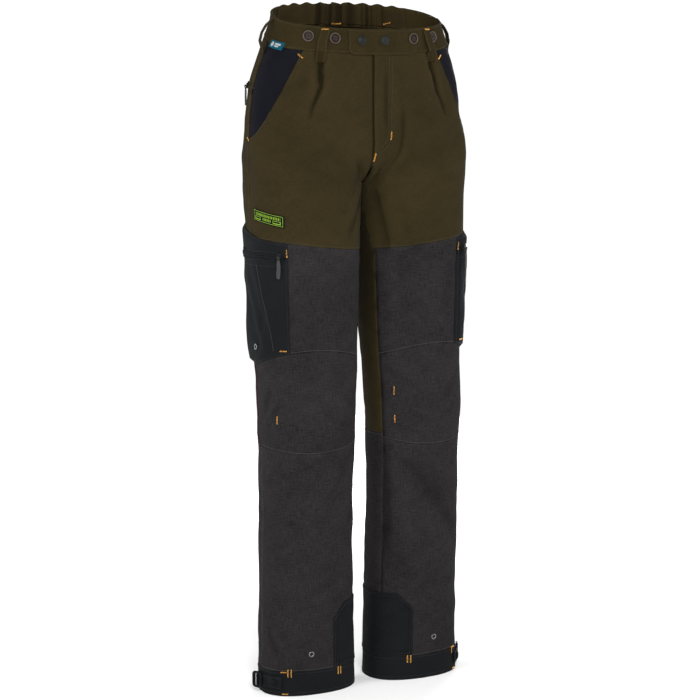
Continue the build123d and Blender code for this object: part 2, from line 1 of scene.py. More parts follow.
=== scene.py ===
import math

import bpy
import numpy as np
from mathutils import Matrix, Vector


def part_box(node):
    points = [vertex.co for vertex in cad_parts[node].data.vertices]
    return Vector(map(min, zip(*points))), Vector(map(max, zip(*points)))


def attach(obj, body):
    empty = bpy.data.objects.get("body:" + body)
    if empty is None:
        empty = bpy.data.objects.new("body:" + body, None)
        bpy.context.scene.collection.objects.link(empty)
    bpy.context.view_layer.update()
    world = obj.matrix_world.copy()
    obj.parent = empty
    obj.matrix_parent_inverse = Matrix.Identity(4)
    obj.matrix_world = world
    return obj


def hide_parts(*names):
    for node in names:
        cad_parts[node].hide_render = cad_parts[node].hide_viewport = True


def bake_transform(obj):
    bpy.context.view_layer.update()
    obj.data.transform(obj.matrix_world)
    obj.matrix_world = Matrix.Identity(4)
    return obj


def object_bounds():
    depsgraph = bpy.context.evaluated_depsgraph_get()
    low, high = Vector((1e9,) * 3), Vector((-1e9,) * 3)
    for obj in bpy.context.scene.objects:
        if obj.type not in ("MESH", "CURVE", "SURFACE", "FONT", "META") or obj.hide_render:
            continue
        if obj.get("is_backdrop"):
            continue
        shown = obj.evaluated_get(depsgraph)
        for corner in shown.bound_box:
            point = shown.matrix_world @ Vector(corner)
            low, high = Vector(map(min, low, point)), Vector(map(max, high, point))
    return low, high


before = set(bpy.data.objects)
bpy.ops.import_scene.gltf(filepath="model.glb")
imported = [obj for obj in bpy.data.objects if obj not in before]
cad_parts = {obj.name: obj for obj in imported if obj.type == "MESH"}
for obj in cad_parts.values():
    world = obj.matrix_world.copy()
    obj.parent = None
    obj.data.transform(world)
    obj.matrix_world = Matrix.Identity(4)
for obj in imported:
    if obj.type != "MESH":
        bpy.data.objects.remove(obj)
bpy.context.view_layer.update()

# Looks of the cut-protection trousers. Lengths are in millimetres until a mesh is made. As in the part's
# source, t runs round one half of the trousers: 0 centre front or inseam, 0.25 front, 0.5 side seam,
# 0.75 back, 1 centre back or inseam. side is +1 for the wearer's left and -1 for the right.
MM = 0.001
AROUND = 500.0          # length of cloth round one leg, which t = 1 stands for

# ---- the surface that every panel lies on, as in the part's source -----------------------------------
CROTCH, CROTCH_CURVE, HIP_CURVE = 815.0, 70.0, 120.0
WAIST_TOP, WAIST_SLOPE, BAND, CUFF, BACK_KNEE = 1075.0, 0.30, 38.0, 40.0, 413.0
LEG_Z = (0.0, 150.0, 300.0, 450.0, 600.0, CROTCH)
LEG_CENTRE_X = (94.0, 95.0, 96.0, 95.0, 93.0, 94.0)
LEG_CENTRE_Y = (-8.0, -8.0, -11.0, -15.0, -7.0, 0.0)
LEG_HALF_WIDTH = (80.0, 77.0, 76.0, 79.0, 84.5, 91.0)
LEG_FRONT = (55.0, 58.0, 60.0, 60.0, 66.0, 77.0)
LEG_BACK = (57.0, 61.0, 64.0, 66.0, 79.0, 93.0)
SEAT_Z = (CROTCH, 900.0, 975.0, 1030.0, WAIST_TOP, 1105.0)
SEAT_HALF_WIDTH = (189.0, 186.0, 176.0, 157.0, 142.0, 140.0)
SEAT_FRONT = (75.0, 68.0, 67.0, 67.0, 66.0, 66.0)
SEAT_BACK = (98.0, 95.0, 94.0, 88.0, 80.0, 78.0)
BOX_CENTRE_Y = 9.17
ROUNDNESS = 2.3
KNEE_LOW_SEAM = ((-20.0, 424.0), (95.0, 394.0), (230.0, 426.0))
KNEE_HIGH_SEAM = ((-20.0, 522.0), (95.0, 557.0), (230.0, 524.0))
THIGH_SEAM = ((-20.0, 710.0), (95.0, 720.0), (230.0, 742.0))
MOUTH_TOP, MOUTH_END = (104.0, 1045.0), (188.0, 884.0)
EDGE_FOLD = 0.6
CARGO_ZIP = dict(centre=(100.0, 1.5), radius=88.0, start=-45.5, end=34.0, z=708.0)
BACK_ZIP = dict(centre=(79.0, -24.0), radius=108.6, start=33.0, end=78.0, z=968.0)
CARGO_T = (0.352, 0.62)
CARGO_TOP, CARGO_RISE, CARGO_BOTTOM, CARGO_DEPTH = 740.0, 0.233, 534.0, 6.4
INSEAM_FRONT, INSEAM_BACK, INSEAM_TAPER = 0.08, -0.10, 110.0
FORK_TALL = 62.0        # height of the crotch curve, which rows of points cross at equal angles
PATCH_TOP, PATCH_LOW, PATCH_CUT_X, PATCH_SLOPE = 148.0, 66.0, 48.0, 78.0 / 72.0
MOUTH_START = (113.0, 1028.0)     # (x, z) on the pocket mouth, near its front end
LOOP_PLACES = (0.19, 0.5, 0.80)
BUTTON_PLACES = (0.14, 0.236, 0.88)
SNAP_X, SNAP_Z = (-24.0, 15.0), 1037.0
TAB_X = (-46.0, 32.0)
TAB_LOW = 1015.0
STRAP_CENTRE, STRAP_RADIUS, STRAP_Z = (125.0, -9.0), 51.8, 22.0
STRAP_START, STRAP_END, STRAP_SNAP = -52.0, 16.0, -34.0       # angles on the strap's arc
PIN_OUT = 4.8           # from the middle of a zip's teeth to the pin of its pull
FLY_ZIP_X = 9.0


def smooth(z, heights, values):
    """Cubic curve through values given at heights."""
    heights, values = np.array(heights), np.array(values)
    z = np.clip(z, heights[0], heights[-1])
    slopes = np.gradient(values, heights)
    i = np.clip(np.searchsorted(heights, z, side="right") - 1, 0, len(heights) - 2)
    step = heights[i + 1] - heights[i]
    u = (z - heights[i]) / step
    start = (2 * u**3 - 3 * u**2 + 1) * values[i] + (u**3 - 2 * u**2 + u) * step * slopes[i]
    stop = (3 * u**2 - 2 * u**3) * values[i + 1] + (u**3 - u**2) * step * slopes[i + 1]
    return start + stop


def superellipse(angle):
    """Point of a unit superellipse at an angle."""
    c, s = np.cos(angle), np.sin(angle)
    r = (abs(c) ** ROUNDNESS + abs(s) ** ROUNDNESS) ** (-1 / ROUNDNESS)
    return c * r, s * r


def ease(x):
    """0 below 0, 1 above 1 and smooth between them."""
    x = np.clip(x, 0.0, 1.0)
    return x * x * (3 - 2 * x)


def plan(t, z):
    """Where the smooth surface is in plan. The two legs meet in the middle at the crotch."""
    c, s = superellipse(np.pi * (1 - 2 * t))
    over = 40.0 * (1 - np.exp(-np.maximum(z - CROTCH, 0) / 40.0))

    def leg(values):
        return smooth(z, LEG_Z, values) + over * (values[-1] - values[-2]) / (LEG_Z[-1] - LEG_Z[-2])

    depth = np.where(s > 0, leg(LEG_FRONT), leg(LEG_BACK))
    near_middle = abs(np.cos(np.pi * t)) ** np.where(np.cos(np.pi * t) > 0, 11, 6)
    leg_x = leg(LEG_CENTRE_X) + leg(LEG_HALF_WIDTH) * c
    leg_x = leg_x - 3.0 * near_middle * ease((z - 735.0) / 80.0)
    leg_y = leg(LEG_CENTRE_Y) - depth * s
    c, s = superellipse(np.pi * t)
    seat_x = smooth(z, SEAT_Z, SEAT_HALF_WIDTH) * s
    seat_y = -np.where(c > 0, smooth(z, SEAT_Z, SEAT_FRONT), smooth(z, SEAT_Z, SEAT_BACK)) * c
    rise = np.clip((z - CROTCH) / CROTCH_CURVE, 0.0, 1.0)
    sharp = abs(np.cos(np.pi * t)) ** 40
    crease = np.sqrt(1 - (1 - rise) ** 2) * sharp + ease(rise * 1.25) * (1 - sharp)
    share = crease * near_middle + ease((z - CROTCH) / HIP_CURVE) * (1 - near_middle)
    return leg_x * (1 - share) + seat_x * share, leg_y * (1 - share) + seat_y * share


def outward(t, z):
    """Outward directions of the smooth surface."""
    dt, dz = 0.002, 1.0
    (x0, y0), (x1, y1) = plan(t - dt, z), plan(t + dt, z)
    (x2, y2), (x3, y3) = plan(t, z - dz), plan(t, z + dz)
    tx, ty, zx, zy = x1 - x0, y1 - y0, x3 - x2, y3 - y2
    n = np.stack([ty, -tx, (tx * zy - ty * zx) / (2 * dz)], -1)
    return n / np.linalg.norm(n, axis=-1, keepdims=True)


# ---- folds of the worn cloth -------------------------------------------------------------------------
# (t, z) from and to, half width and height in mm; a height below zero is a valley. Two widths are those
# before and behind the line. "both" is on each leg.
FOLDS = {
    "both": (
        ((0.97, 840), (0.82, 770), 10, 2.6), ((0.96, 868), (0.80, 812), 9, -2.8),
        ((0.95, 905), (0.76, 868), 14, 2.2), ((0.97, 800), (0.84, 700), (12, 6), 2.6),
        ((0.68, 505), (0.93, 486), 8, -2.6), ((0.66, 478), (0.90, 462), 9, 2.6),
        ((0.70, 452), (0.95, 448), 7, -2.6), ((0.64, 430), (0.88, 428), 8, 2.2),
        ((0.60, 540), (0.85, 520), 12, 1.8), ((0.62, 130), (0.92, 98), 9, 2.0),
        ((0.58, 98), (0.86, 74), 7, -1.8), ((0.66, 190), (0.95, 150), 12, 1.9),
        ((0.54, 690), (0.72, 600), 12, 1.8), ((0.56, 880), (0.70, 800), 14, 2.0),
        ((0.60, 1010), (0.66, 900), 9, -1.6), ((0.70, 1000), (0.74, 880), 10, 1.6),
        ((0.84, 990), (0.80, 890), 11, 1.6), ((0.90, 980), (0.93, 900), 8, -1.5),
        ((0.72, 360), (0.78, 220), 14, 1.8), ((0.86, 330), (0.80, 200), 12, -1.6),
    ),
    "left": (
        ((0.033, 1008), (0.034, 880), (4, 7), -1.5), ((0.060, 1000), (0.056, 900), 8, 1.3),
        ((0.215, 1010), (0.226, 930), 9, 2.4), ((0.18, 1010), (0.18, 920), 14, 1.5),
        ((0.085, 950), (0.107, 825), (6, 3), -1.5), ((0.118, 930), (0.125, 800), 9, 1.0),
        ((0.080, 822), (0.138, 690), (17, 5), -3.2), ((0.122, 815), (0.168, 715), 9, 1.8),
        ((0.13, 735), (0.150, 590), (13, 8), 1.8),
        ((0.02, 846), (0.09, 822), 4.0, -1.0),
        ((0.015, 836), (0.07, 800), 4.0, 0.8), ((0.03, 862), (0.095, 845), 4.5, 0.7),
        ((0.115, 400), (0.42, 222), 22, -4.4), ((0.098, 410), (0.104, 170), 9, -2.2),
        ((0.140, 350), (0.196, 200), 17, 2.4), ((0.22, 395), (0.42, 300), 18, 1.8),
        ((0.42, 900), (0.30, 820), 20, 1.6),
        ((0.10, 545), (0.22, 500), 14, 1.6), ((0.40, 520), (0.30, 470), 13, -1.6),
        ((0.45, 300), (0.38, 190), 16, 1.6), ((0.10, 230), (0.22, 160), 14, -1.6),
        ((0.30, 150), (0.45, 100), 12, 1.6), ((0.44, 560), (0.49, 480), 8, 1.6),
        ((0.26, 700), (0.30, 560), 20, 1.2), ((0.34, 690), (0.28, 590), 14, -1.1),
    ),
    "right": (
        ((0.135, 1010), (0.132, 900), 16, 1.4), ((0.195, 1008), (0.185, 940), 9, 1.8),
        ((0.23, 905), (0.16, 820), 18, 1.4), ((0.02, 846), (0.165, 812), 4.5, -1.1),
        ((0.025, 836), (0.14, 800), 5, 1.0), ((0.02, 856), (0.09, 838), 4.0, -0.9),
        ((0.06, 850), (0.17, 835), 5, 1.3), ((0.070, 805), (0.172, 724), (6, 12), -3.0),
        ((0.10, 812), (0.20, 738), 10, 1.8), ((0.40, 860), (0.30, 800), 20, 1.5),
        ((0.395, 492), (0.475, 436), 5, 1.8), ((0.42, 505), (0.48, 462), 7, -1.2),
        ((0.10, 520), (0.20, 470), 12, 1.4), ((0.47, 350), (0.36, 250), 15, 1.6),
        ((0.08, 240), (0.20, 160), 14, 1.6), ((0.42, 150), (0.30, 90), 12, 1.5),
        ((0.46, 120), (0.40, 60), 9, -1.5), ((0.22, 640), (0.26, 480), 18, 1.4),
        ((0.14, 400), (0.22, 300), 16, -1.2), ((0.30, 330), (0.24, 200), 16, 1.3),
        ((0.06, 330), (0.14, 270), 11, -1.7), ((0.05, 300), (0.13, 235), 11, 1.5),
        ((0.055, 165), (0.12, 120), 7, -1.8),
    ),
}
# Pleats under the waistband, as points (t, z) down each: a deep valley with one sharp side.
PLEATS = {
    "left": (((0.196, 1030), (0.199, 995), (0.209, 958), (0.250, 912)), (2.4, 8.0), -8.5),
    "right": (((0.176, 1030), (0.166, 1000), (0.157, 968), (0.196, 912)), (2.4, 8.5), -8.0),
}


def waves(seed, count, turns, length, height):
    """Random low waves over the cloth: whole turns round the leg, lengths up it in mm."""
    draw = np.random.default_rng(seed)
    return [
        (draw.integers(-turns, turns + 1), draw.uniform(*length), draw.uniform(0, 2 * np.pi),
         height * draw.uniform(0.5, 1.0))
        for _ in range(count)
    ]


WAVES = {
    1: waves(3, 9, 3, (90, 260), 0.34) + waves(5, 16, 11, (26, 90), 0.09),
    -1: waves(11, 9, 3, (90, 260), 0.34) + waves(17, 16, 11, (26, 90), 0.09),
}


def waist_height(t, below):
    """Height of a line that many mm below the waistband's top edge, which rises to the back."""
    z = np.full(np.shape(t), WAIST_TOP - below)
    for _ in range(4):
        z = WAIST_TOP + WAIST_SLOPE * plan(t, z)[1] - below
    return z


def gather(t, z, side):
    """Vertical ruffles that the elastic makes in the back of the waist."""
    depth = WAIST_TOP + WAIST_SLOPE * plan(t, np.full(np.shape(t), WAIST_TOP))[1] - z
    amount = ease((t - np.where(side > 0, 0.79, 0.88)) / 0.06) * (1 - ease((depth - 34) / 75))
    s = (t - 1) * AROUND * side
    big = np.sin(s * 2 * np.pi / 27 + 1.7 * np.sin(s / 23) + 0.6)
    small = np.sin(s * 2 * np.pi / 11.3 + 1.4 * np.sin(s / 11))
    uneven = 0.8 + 0.5 * np.sin(s / 29 + 0.8)
    return amount * (5.0 * uneven * big * abs(big) ** 0.2 + 1.5 * small)


def line_distance(t, z, start, stop, wide):
    """Distance from a line on the cloth in parts of the width, and how far along it, 0 to 1."""
    a, b = np.array([start[0] * AROUND, start[1]]), np.array([stop[0] * AROUND, stop[1]])
    d, s = b - a, t * AROUND
    h = np.clip(((s - a[0]) * d[0] + (z - a[1]) * d[1]) / (d @ d), 0, 1)
    away = np.hypot(s - a[0] - h * d[0], z - a[1] - h * d[1])
    before, behind = wide if isinstance(wide, tuple) else (wide, wide)
    turn = (s - a[0]) * d[1] - (z - a[1]) * d[0]
    return away / np.where(turn * d[1] < 0, before, behind), h


def one_side(t, z, side):
    """relief for one side: waves, folds, the pleat, the gathers and the crease at the crotch."""
    gathered = gather(t, z, side)
    t = np.where(z < CROTCH, t - np.floor(t), t)
    height = np.zeros(np.shape(t))
    for turns, length, phase, size in WAVES[side]:
        height = height + size * np.sin(2 * np.pi * (turns * t + z / length) + phase)
    hand = "left" if side > 0 else "right"
    for start, stop, wide, high in FOLDS["both"] + FOLDS[hand]:
        away, h = line_distance(t, z, start, stop, wide)
        height = height + high * np.exp(-(away**2)) * ease(np.minimum(h, 1 - h) / 0.35 + 0.12)
    points, wide, high = PLEATS[hand]
    depth = np.zeros(np.shape(height))
    count = len(points) - 1
    for i in range(count):
        away, h = line_distance(t, z, points[i], points[i + 1], wide)
        open_by = 1.35 - 0.75 * (i + h) / count
        depth = np.maximum(depth, np.exp(-((away / open_by) ** 2)) * (1 - ((i + h) / count) ** 2.4))
    below = waist_height(np.minimum(t, 0.5), BAND) - z
    height = height + high * depth * ease((below + 1.5) / 4)
    calm = ease((z - 4.0) / 50.0) * 0.8 + 0.2
    calm = calm * (1 - ease((z - CROTCH) / 40.0) * (1 - ease(np.minimum(t, 1 - t) / 0.03)))
    from_seam = np.minimum(abs(t), abs(1 - t)) * AROUND
    split = np.exp(-((from_seam / 4.5) ** 2)) * ease((850 - z) / 22) * ease((z - 790) / 20)
    return height * calm + gathered - 3.4 * split


def relief(t, z, side):
    """How far the worn cloth lies outside the smooth surface."""
    t, z, side = np.broadcast_arrays(t, z, side)
    if (side > 0).all() or (side < 0).all():
        return one_side(t, z, 1 if side.flat[0] > 0 else -1)
    return np.where(side > 0, one_side(t, z, 1), one_side(t, z, -1))


def place(t, z, out=0.0, side=1):
    """Points on the cloth, out mm outside it, in metres in the row frame."""
    t, z, out, side = (np.asarray(a, float) for a in np.broadcast_arrays(t, z, out, side))
    x, y = plan(t, z)
    p = np.stack([x, y, z], -1) + outward(t, z) * (out + relief(t, z, side))[..., None]
    p[..., 0] *= side
    p[..., 1] -= BOX_CENTRE_Y
    p[..., 2] = np.maximum(p[..., 2], 0.0)
    return p * MM


def direction(t, z, side=1):
    """Outward directions on the cloth, in the row frame."""
    n = outward(np.asarray(t, float), np.asarray(z, float))
    n[..., 0] *= side
    return n


def t_at(x, z):
    """The front t at a distance x from the middle. Left of it, t is the same on the other half."""
    low, high = np.zeros(np.shape(x)), np.full(np.shape(x), 0.5)
    for _ in range(30):
        mid = (low + high) / 2
        inside = plan(mid, z)[0] < abs(x)
        low, high = np.where(inside, mid, low), np.where(inside, high, mid)
    return (low + high) / 2


def seam(points):
    """Height of a seam at t, from three points of its arc in front view."""
    (x1, z1), (x2, z2), (x3, z3) = points
    a = np.array([[x2 - x1, z2 - z1], [x3 - x1, z3 - z1]])
    b = np.array([x2**2 - x1**2 + z2**2 - z1**2, x3**2 - x1**2 + z3**2 - z1**2]) / 2
    cx, cz = np.linalg.solve(a, b)
    radius = math.hypot(x1 - cx, z1 - cz)
    way = math.copysign(1, z2 - cz)

    def height(t):
        z = np.full(np.shape(t), float(z2))
        for _ in range(6):
            z = cz + way * np.sqrt(radius**2 - (plan(t, z)[0] - cx) ** 2)
        return z

    return height


def mouth(t):
    """Height of the slanted pocket mouth at t, with the waistband's lower edge as its limit."""
    low, high = np.full(np.shape(t), 870.0), np.full(np.shape(t), 1060.0)
    slope = (MOUTH_END[1] - MOUTH_TOP[1]) / (MOUTH_END[0] - MOUTH_TOP[0])
    for _ in range(30):
        mid = (low + high) / 2
        under = mid < MOUTH_TOP[1] + slope * (plan(t, mid)[0] - MOUTH_TOP[0])
        low, high = np.where(under, mid, low), np.where(under, high, mid)
    return np.minimum((low + high) / 2, waist_height(t, BAND))


def fixed(value):
    """An edge of a panel that is straight in t or z."""
    return lambda other: np.full(np.shape(other), float(value))


def inseam(z):
    return INSEAM_FRONT * np.clip((CROTCH - z) / INSEAM_TAPER, 0, 1)


def inseam_behind(z):
    return INSEAM_BACK * np.clip((CROTCH - z) / INSEAM_TAPER, 0, 1)


# ---- mesh code ---------------------------------------------------------------------------------------
NEAR_EDGE = np.array([0.0, 0.8, 1.6, 2.6, 3.8, 6.0])      # rows of points beside an edge
EDGE_SHAPE = np.array([-0.95, -0.15, 0.12, -0.28, 0.1, 0.0])   # turned edge, with a dip under its stitching


def samples(length, step, first=True, last=True):
    """Places from 0 to 1 along a length, closer together beside the edges that are sewn."""
    if length < 16:
        return np.linspace(0, 1, max(3, int(length / 1.6) + 1))
    a, b = 6.0 if first else 0.0, length - 6.0 if last else length
    inner = np.linspace(a, b, max(2, int(np.ceil((b - a) / step)) + 1))
    return np.concatenate([
        NEAR_EDGE[:-1] if first else [], inner, (length - NEAR_EDGE[:-1])[::-1] if last else []
    ]) / length


def lattice(ta, tb, low, high, step=4.0, crotch=False):
    """t and z of a grid between two seams up the leg, ta and tb, and two round it, low and high."""
    tries = np.linspace(0, 1, 9)
    middle = float(np.mean([low(np.array(0.3)), high(np.array(0.3))]))
    t_tries = ta(np.array(middle)) + tries * (tb(np.array(middle)) - ta(np.array(middle)))
    wide = float(AROUND * abs(tb(np.array(middle)) - ta(np.array(middle))))
    tall = float(np.max(high(t_tries) - low(t_tries)))
    fork_top = CROTCH + FORK_TALL
    u = samples(wide, step)
    if crotch:
        under = samples(CROTCH - float(np.min(low(t_tries))), step, last=False)
        bend = np.linspace(0, np.pi / 2, 15)[1:]
        over = samples(float(np.max(high(t_tries))) - fork_top, step, first=False)[1:]
        v = np.concatenate([under, 1 + bend, 4 + over])
    else:
        v = samples(tall, step)
    U, V = np.meshgrid(u, v, indexing="ij")
    T = ta(np.full(U.shape, middle)) * (1 - U) + tb(np.full(U.shape, middle)) * U
    for _ in range(5):
        L, H = low(T), high(T)
        if crotch:
            curved = CROTCH + FORK_TALL * (1 - np.cos(V - 1))
            straight = fork_top + (np.maximum(H, fork_top + 1) - fork_top) * (V - 4)
            Z = np.where(V <= 1, L + (CROTCH - L) * V, np.where(V < 3, curved, straight))
        else:
            Z = L + (H - L) * V
        T = ta(Z) * (1 - U) + tb(Z) * U
    return T, Z


def run(points, axis):
    """Length along the grid's lines from their start."""
    step = np.linalg.norm(np.diff(points, axis=axis), axis=-1)
    pad = [(0, 0), (0, 0)]
    pad[axis] = (1, 0)
    return np.pad(np.cumsum(step, axis=axis), pad)


def edge_distance(points):
    """Distance in mm from each point of a grid to the grid's edge, and the two sizes of the cut."""
    across, up = run(points, 0) / MM, run(points, 1) / MM
    d = np.minimum.reduce([across, across[-1:] - across, up, up[:, -1:] - up])
    return d, float(across[-1].max()), float(up[:, -1].max())


def hollows(height, passes=26):
    """Where a grid of heights lies above (+) or below (-) its surroundings, about -1 to 1."""
    around = height
    for _ in range(passes):
        p = np.pad(around, 1, mode="edge")
        around = (p[:-2, 1:-1] + p[2:, 1:-1] + p[1:-1, :-2] + p[1:-1, 2:]) / 8 + around / 2
    return np.clip((height - around) / 1.8, -1.0, 1.0)


def quads(nu, nv, flip):
    """Faces of a grid of nu by nv points, outwards or, with flip, inwards."""
    i = (np.arange(nu - 1)[:, None] * nv + np.arange(nv - 1)[None, :]).reshape(-1)
    q = np.stack([i, i + nv, i + nv + 1, i + 1], -1)
    return q[:, ::-1] if flip else q


def grid_area(p):
    a, b, c, d = p[:-1, :-1], p[1:, :-1], p[1:, 1:], p[:-1, 1:]
    return float(np.linalg.norm(np.cross(c - a, d - b), axis=-1).sum() / 2)


class Bag:
    """Points and faces of one piece, gathered from several shapes."""

    def __init__(self):
        self.points, self.faces, self.slots, self.uvs, self.wear_and_shade = [], [], [], [], []
        self.count = 0

    def add(self, points, faces, slot=0, uv=None, wear_and_shade=None):
        points = np.asarray(points, float).reshape(-1, 3)
        self.points.append(points)
        self.faces += [tuple(int(i) + self.count for i in f) for f in faces]
        self.slots += [slot] * len(faces) if np.isscalar(slot) else list(slot)
        self.uvs.append(points[:, [0, 2]] + points[:, [1, 1]] * 0.7 if uv is None else uv.reshape(-1, 2))
        self.wear_and_shade.append(np.zeros(len(points)) if wear_and_shade is None else wear_and_shade.reshape(-1))
        self.count += len(points)

    def shell(self, outer, inner, flip=False, uv=None, wear_and_shade=None, hole=None, slots=(0, 1)):
        """A closed sheet between two grids of points, with holes where hole is set for a cell."""
        nu, nv = outer.shape[:2]
        q = quads(nu, nv, flip)
        if hole is not None:
            q = q[~hole.reshape(-1)]
        n = nu * nv
        a, b = q.reshape(-1), np.roll(q, -1, axis=1).reshape(-1)
        alone = ~np.isin(a * n + b, b * n + a)
        a, b = a[alone], b[alone]
        rim = np.stack([b, a, a + n, b + n], -1)
        faces = np.concatenate([q, q[:, ::-1] + n, rim])
        slot = [slots[0]] * len(q) + [slots[1]] * len(q) + [slots[0]] * len(rim)
        points = np.concatenate([outer.reshape(-1, 3), inner.reshape(-1, 3)])
        used, back = np.unique(faces, return_inverse=True)
        twice = (lambda a, k: None if a is None else np.concatenate([a.reshape(-1, k)] * 2)[used])
        self.add(points[used], back.reshape(faces.shape), slot, twice(uv, 2), twice(wear_and_shade, 1))

    def piece(self, name, materials, body="trousers", replaces=(), flat_shade=False):
        mesh = bpy.data.meshes.new(name)
        points = np.concatenate(self.points)
        mesh.from_pydata(points.tolist(), [], self.faces)
        mesh.polygons.foreach_set("material_index", np.array(self.slots, np.int32))
        mesh.polygons.foreach_set("use_smooth", np.full(len(self.faces), not flat_shade))
        corner = np.empty(len(mesh.loops), np.int32)
        mesh.loops.foreach_get("vertex_index", corner)
        layer = mesh.uv_layers.new(name="cloth")
        layer.data.foreach_set("uv", np.concatenate(self.uvs)[corner].astype(np.float32).reshape(-1))
        # Per point: above zero paler rubbed edges and painted highlight on fold ridges, below zero painted
        # shade.
        wear_and_shade = mesh.attributes.new("wear_and_shade", "FLOAT", "POINT")
        wear_and_shade.data.foreach_set("value", np.concatenate(self.wear_and_shade).astype(np.float32))
        for m in materials if isinstance(materials, (list, tuple)) else [materials]:
            mesh.materials.append(m)
        mesh.validate()
        obj = bpy.data.objects.new(name, mesh)
        bpy.context.scene.collection.objects.link(obj)
        if body:
            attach(obj, body)
        if replaces:
            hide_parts(*replaces)
        return obj


def cloth_uv(t, z, side):
    if np.ndim(side):
        return np.stack([(t - 1) * AROUND * MM * side + 2.0, z * MM], -1)
    return np.stack([t * AROUND * MM * side + 2.0, z * MM], -1)


def frame_at(t, z, out, side):
    """Origin, and the axes along the cloth, up it and outwards, at a place on the cloth."""
    origin = place(t, z, out, side)
    n = direction(t, z, side)
    across = np.cross([0, 0, 1.0], n)
    across /= np.linalg.norm(across)
    return origin, across, np.cross(n, across), n


def lathe(profile, at, segments=28, close=True):
    """A turned shape from (radius, height) in mm about the outward axis of a frame."""
    origin, ax, ay, n = at
    profile = np.array(profile, float) * MM
    a = np.linspace(0, 2 * np.pi, segments, endpoint=False)
    ring = np.cos(a)[:, None] * ax + np.sin(a)[:, None] * ay
    p = origin + profile[:, 0][:, None, None] * ring + profile[:, 1][:, None, None] * n
    m, faces = len(profile), []
    for i in range(m - 1 if not close else m):
        for j in range(segments):
            k, j2 = (i + 1) % m, (j + 1) % segments
            faces.append((i * segments + j, i * segments + j2, k * segments + j2, k * segments + j))
    return p.reshape(-1, 3), faces


def dome(profile, at, segments=28):
    """A turned shape that is closed at both ends, where its radius is almost nothing."""
    return lathe(profile, at, segments, close=False)


def sweep(path, ups, section, closed=False):
    """A section of (across, out) in mm, carried along a path of points in metres. Ends are closed."""
    path, ups = np.asarray(path, float), np.asarray(ups, float)
    if closed:
        along = np.roll(path, -1, 0) - np.roll(path, 1, 0)
    else:
        along = np.gradient(path, axis=0)
    along /= np.linalg.norm(along, axis=1, keepdims=True)
    across = np.cross(along, ups)
    across /= np.linalg.norm(across, axis=1, keepdims=True)
    ups = np.cross(across, along)
    section = np.asarray(section, float) * MM
    if section.ndim == 2:
        section = np.repeat(section[None], len(path), 0)
    p = path[:, None] + section[..., 0:1] * across[:, None] + section[..., 1:2] * ups[:, None]
    n, m = p.shape[:2]
    faces = []
    for i in range(n if closed else n - 1):
        for j in range(m):
            k, j2 = (i + 1) % n, (j + 1) % m
            faces.append((i * m + j, i * m + j2, k * m + j2, k * m + j))
    if not closed:
        faces += [tuple(range(m))[::-1], tuple(range((n - 1) * m, n * m))]
    return p.reshape(-1, 3), faces


def rounded_square(sides, power):
    """A section between a circle (power 1) and a square (0), 2 wide."""
    a = np.linspace(0, 2 * np.pi, sides, endpoint=False)
    c, s = np.cos(a), np.sin(a)
    return np.stack([np.sign(c) * abs(c) ** power, np.sign(s) * abs(s) ** power], -1)


def circle(radius, sides=8):
    a = np.linspace(0, 2 * np.pi, sides, endpoint=False)
    return np.stack([radius * np.cos(a), radius * np.sin(a)], -1)


def beads(bag, p, n, radius, slot=0, sides=5):
    """Many short rounded rods. p and n are (rods, 4, 3): points in metres, and upward directions."""
    count = len(p)
    d = p[:, -1:] - p[:, :1]
    d = d / np.maximum(np.linalg.norm(d, axis=-1, keepdims=True), 1e-12)
    x = np.cross(np.broadcast_to(d, n.shape), n)
    x /= np.linalg.norm(x, axis=-1, keepdims=True)
    wide = np.array([0.45, 1.0, 1.0, 0.45]) * radius * MM
    a = np.linspace(0, 2 * np.pi, sides, endpoint=False)
    ring = np.cos(a)[:, None] * x[:, :, None] + np.sin(a)[:, None] * n[:, :, None]
    p = p[:, :, None] + ring * wide[None, :, None, None]
    one = []
    for i in range(3):
        for j in range(sides):
            after = (j + 1) % sides
            one.append((i * sides + j, i * sides + after, (i + 1) * sides + after, (i + 1) * sides + j))
    one += [tuple(range(sides))[::-1], tuple(range(3 * sides, 4 * sides))]
    bag.add(p.reshape(-1, 3), [tuple(i + 4 * sides * k for i in f) for k in range(count) for f in one], slot)


def threads(bag, path, ups, pitch=3.4, length=2.6, radius=0.27, slot=0):
    """A row of stitches along a path of points in metres."""
    path, ups = np.asarray(path), np.asarray(ups)
    along = np.concatenate([[0], np.cumsum(np.linalg.norm(np.diff(path, axis=0), axis=1))])
    count = int(along[-1] / (pitch * MM))
    if count < 1:
        return
    middle = (np.arange(count) + 0.5) * along[-1] / count
    at = np.clip(middle[:, None] + np.array([-0.5, -0.32, 0.32, 0.5]) * length * MM, 0, along[-1])
    p = np.stack([np.interp(at, along, path[:, k]) for k in range(3)], -1)
    n = np.stack([np.interp(at, along, ups[:, k]) for k in range(3)], -1)
    beads(bag, p + n * (np.array([-0.25, 0.12, 0.12, -0.25]) * MM)[None, :, None], n, radius, slot)


def stitch(bag, t, z, side, out=0.2, slot=0, **more):
    """Stitches along a line of (t, z) on the cloth."""
    t, z = np.asarray(t, float), np.asarray(z, float)
    fine = np.linspace(0, len(t) - 1, max(len(t), 6) * 3)
    t, z = np.interp(fine, np.arange(len(t)), t), np.interp(fine, np.arange(len(z)), z)
    threads(bag, place(t, z, out, side), direction(t, z, side), slot=slot, **more)


def bartack(bag, t, z, lean, side, length=9.0, wide=1.9, out=0.5, slot=0):
    """A dense zigzag of thread, lean degrees from upright."""
    steps = np.arange(int(length / 0.55))
    along = (steps / (len(steps) - 1) - 0.5) * length
    across = np.where(steps % 2 == 0, -0.5, 0.5) * wide
    c, s = math.cos(math.radians(lean)), math.sin(math.radians(lean))
    dx, dz = across * c + along * s, -across * s + along * c
    tt, zz = t + dx / AROUND, z + dz
    path = place(tt, zz, out, side)
    bag.add(*sweep(path, direction(tt, zz, side), circle(0.36, 6)), slot=slot)


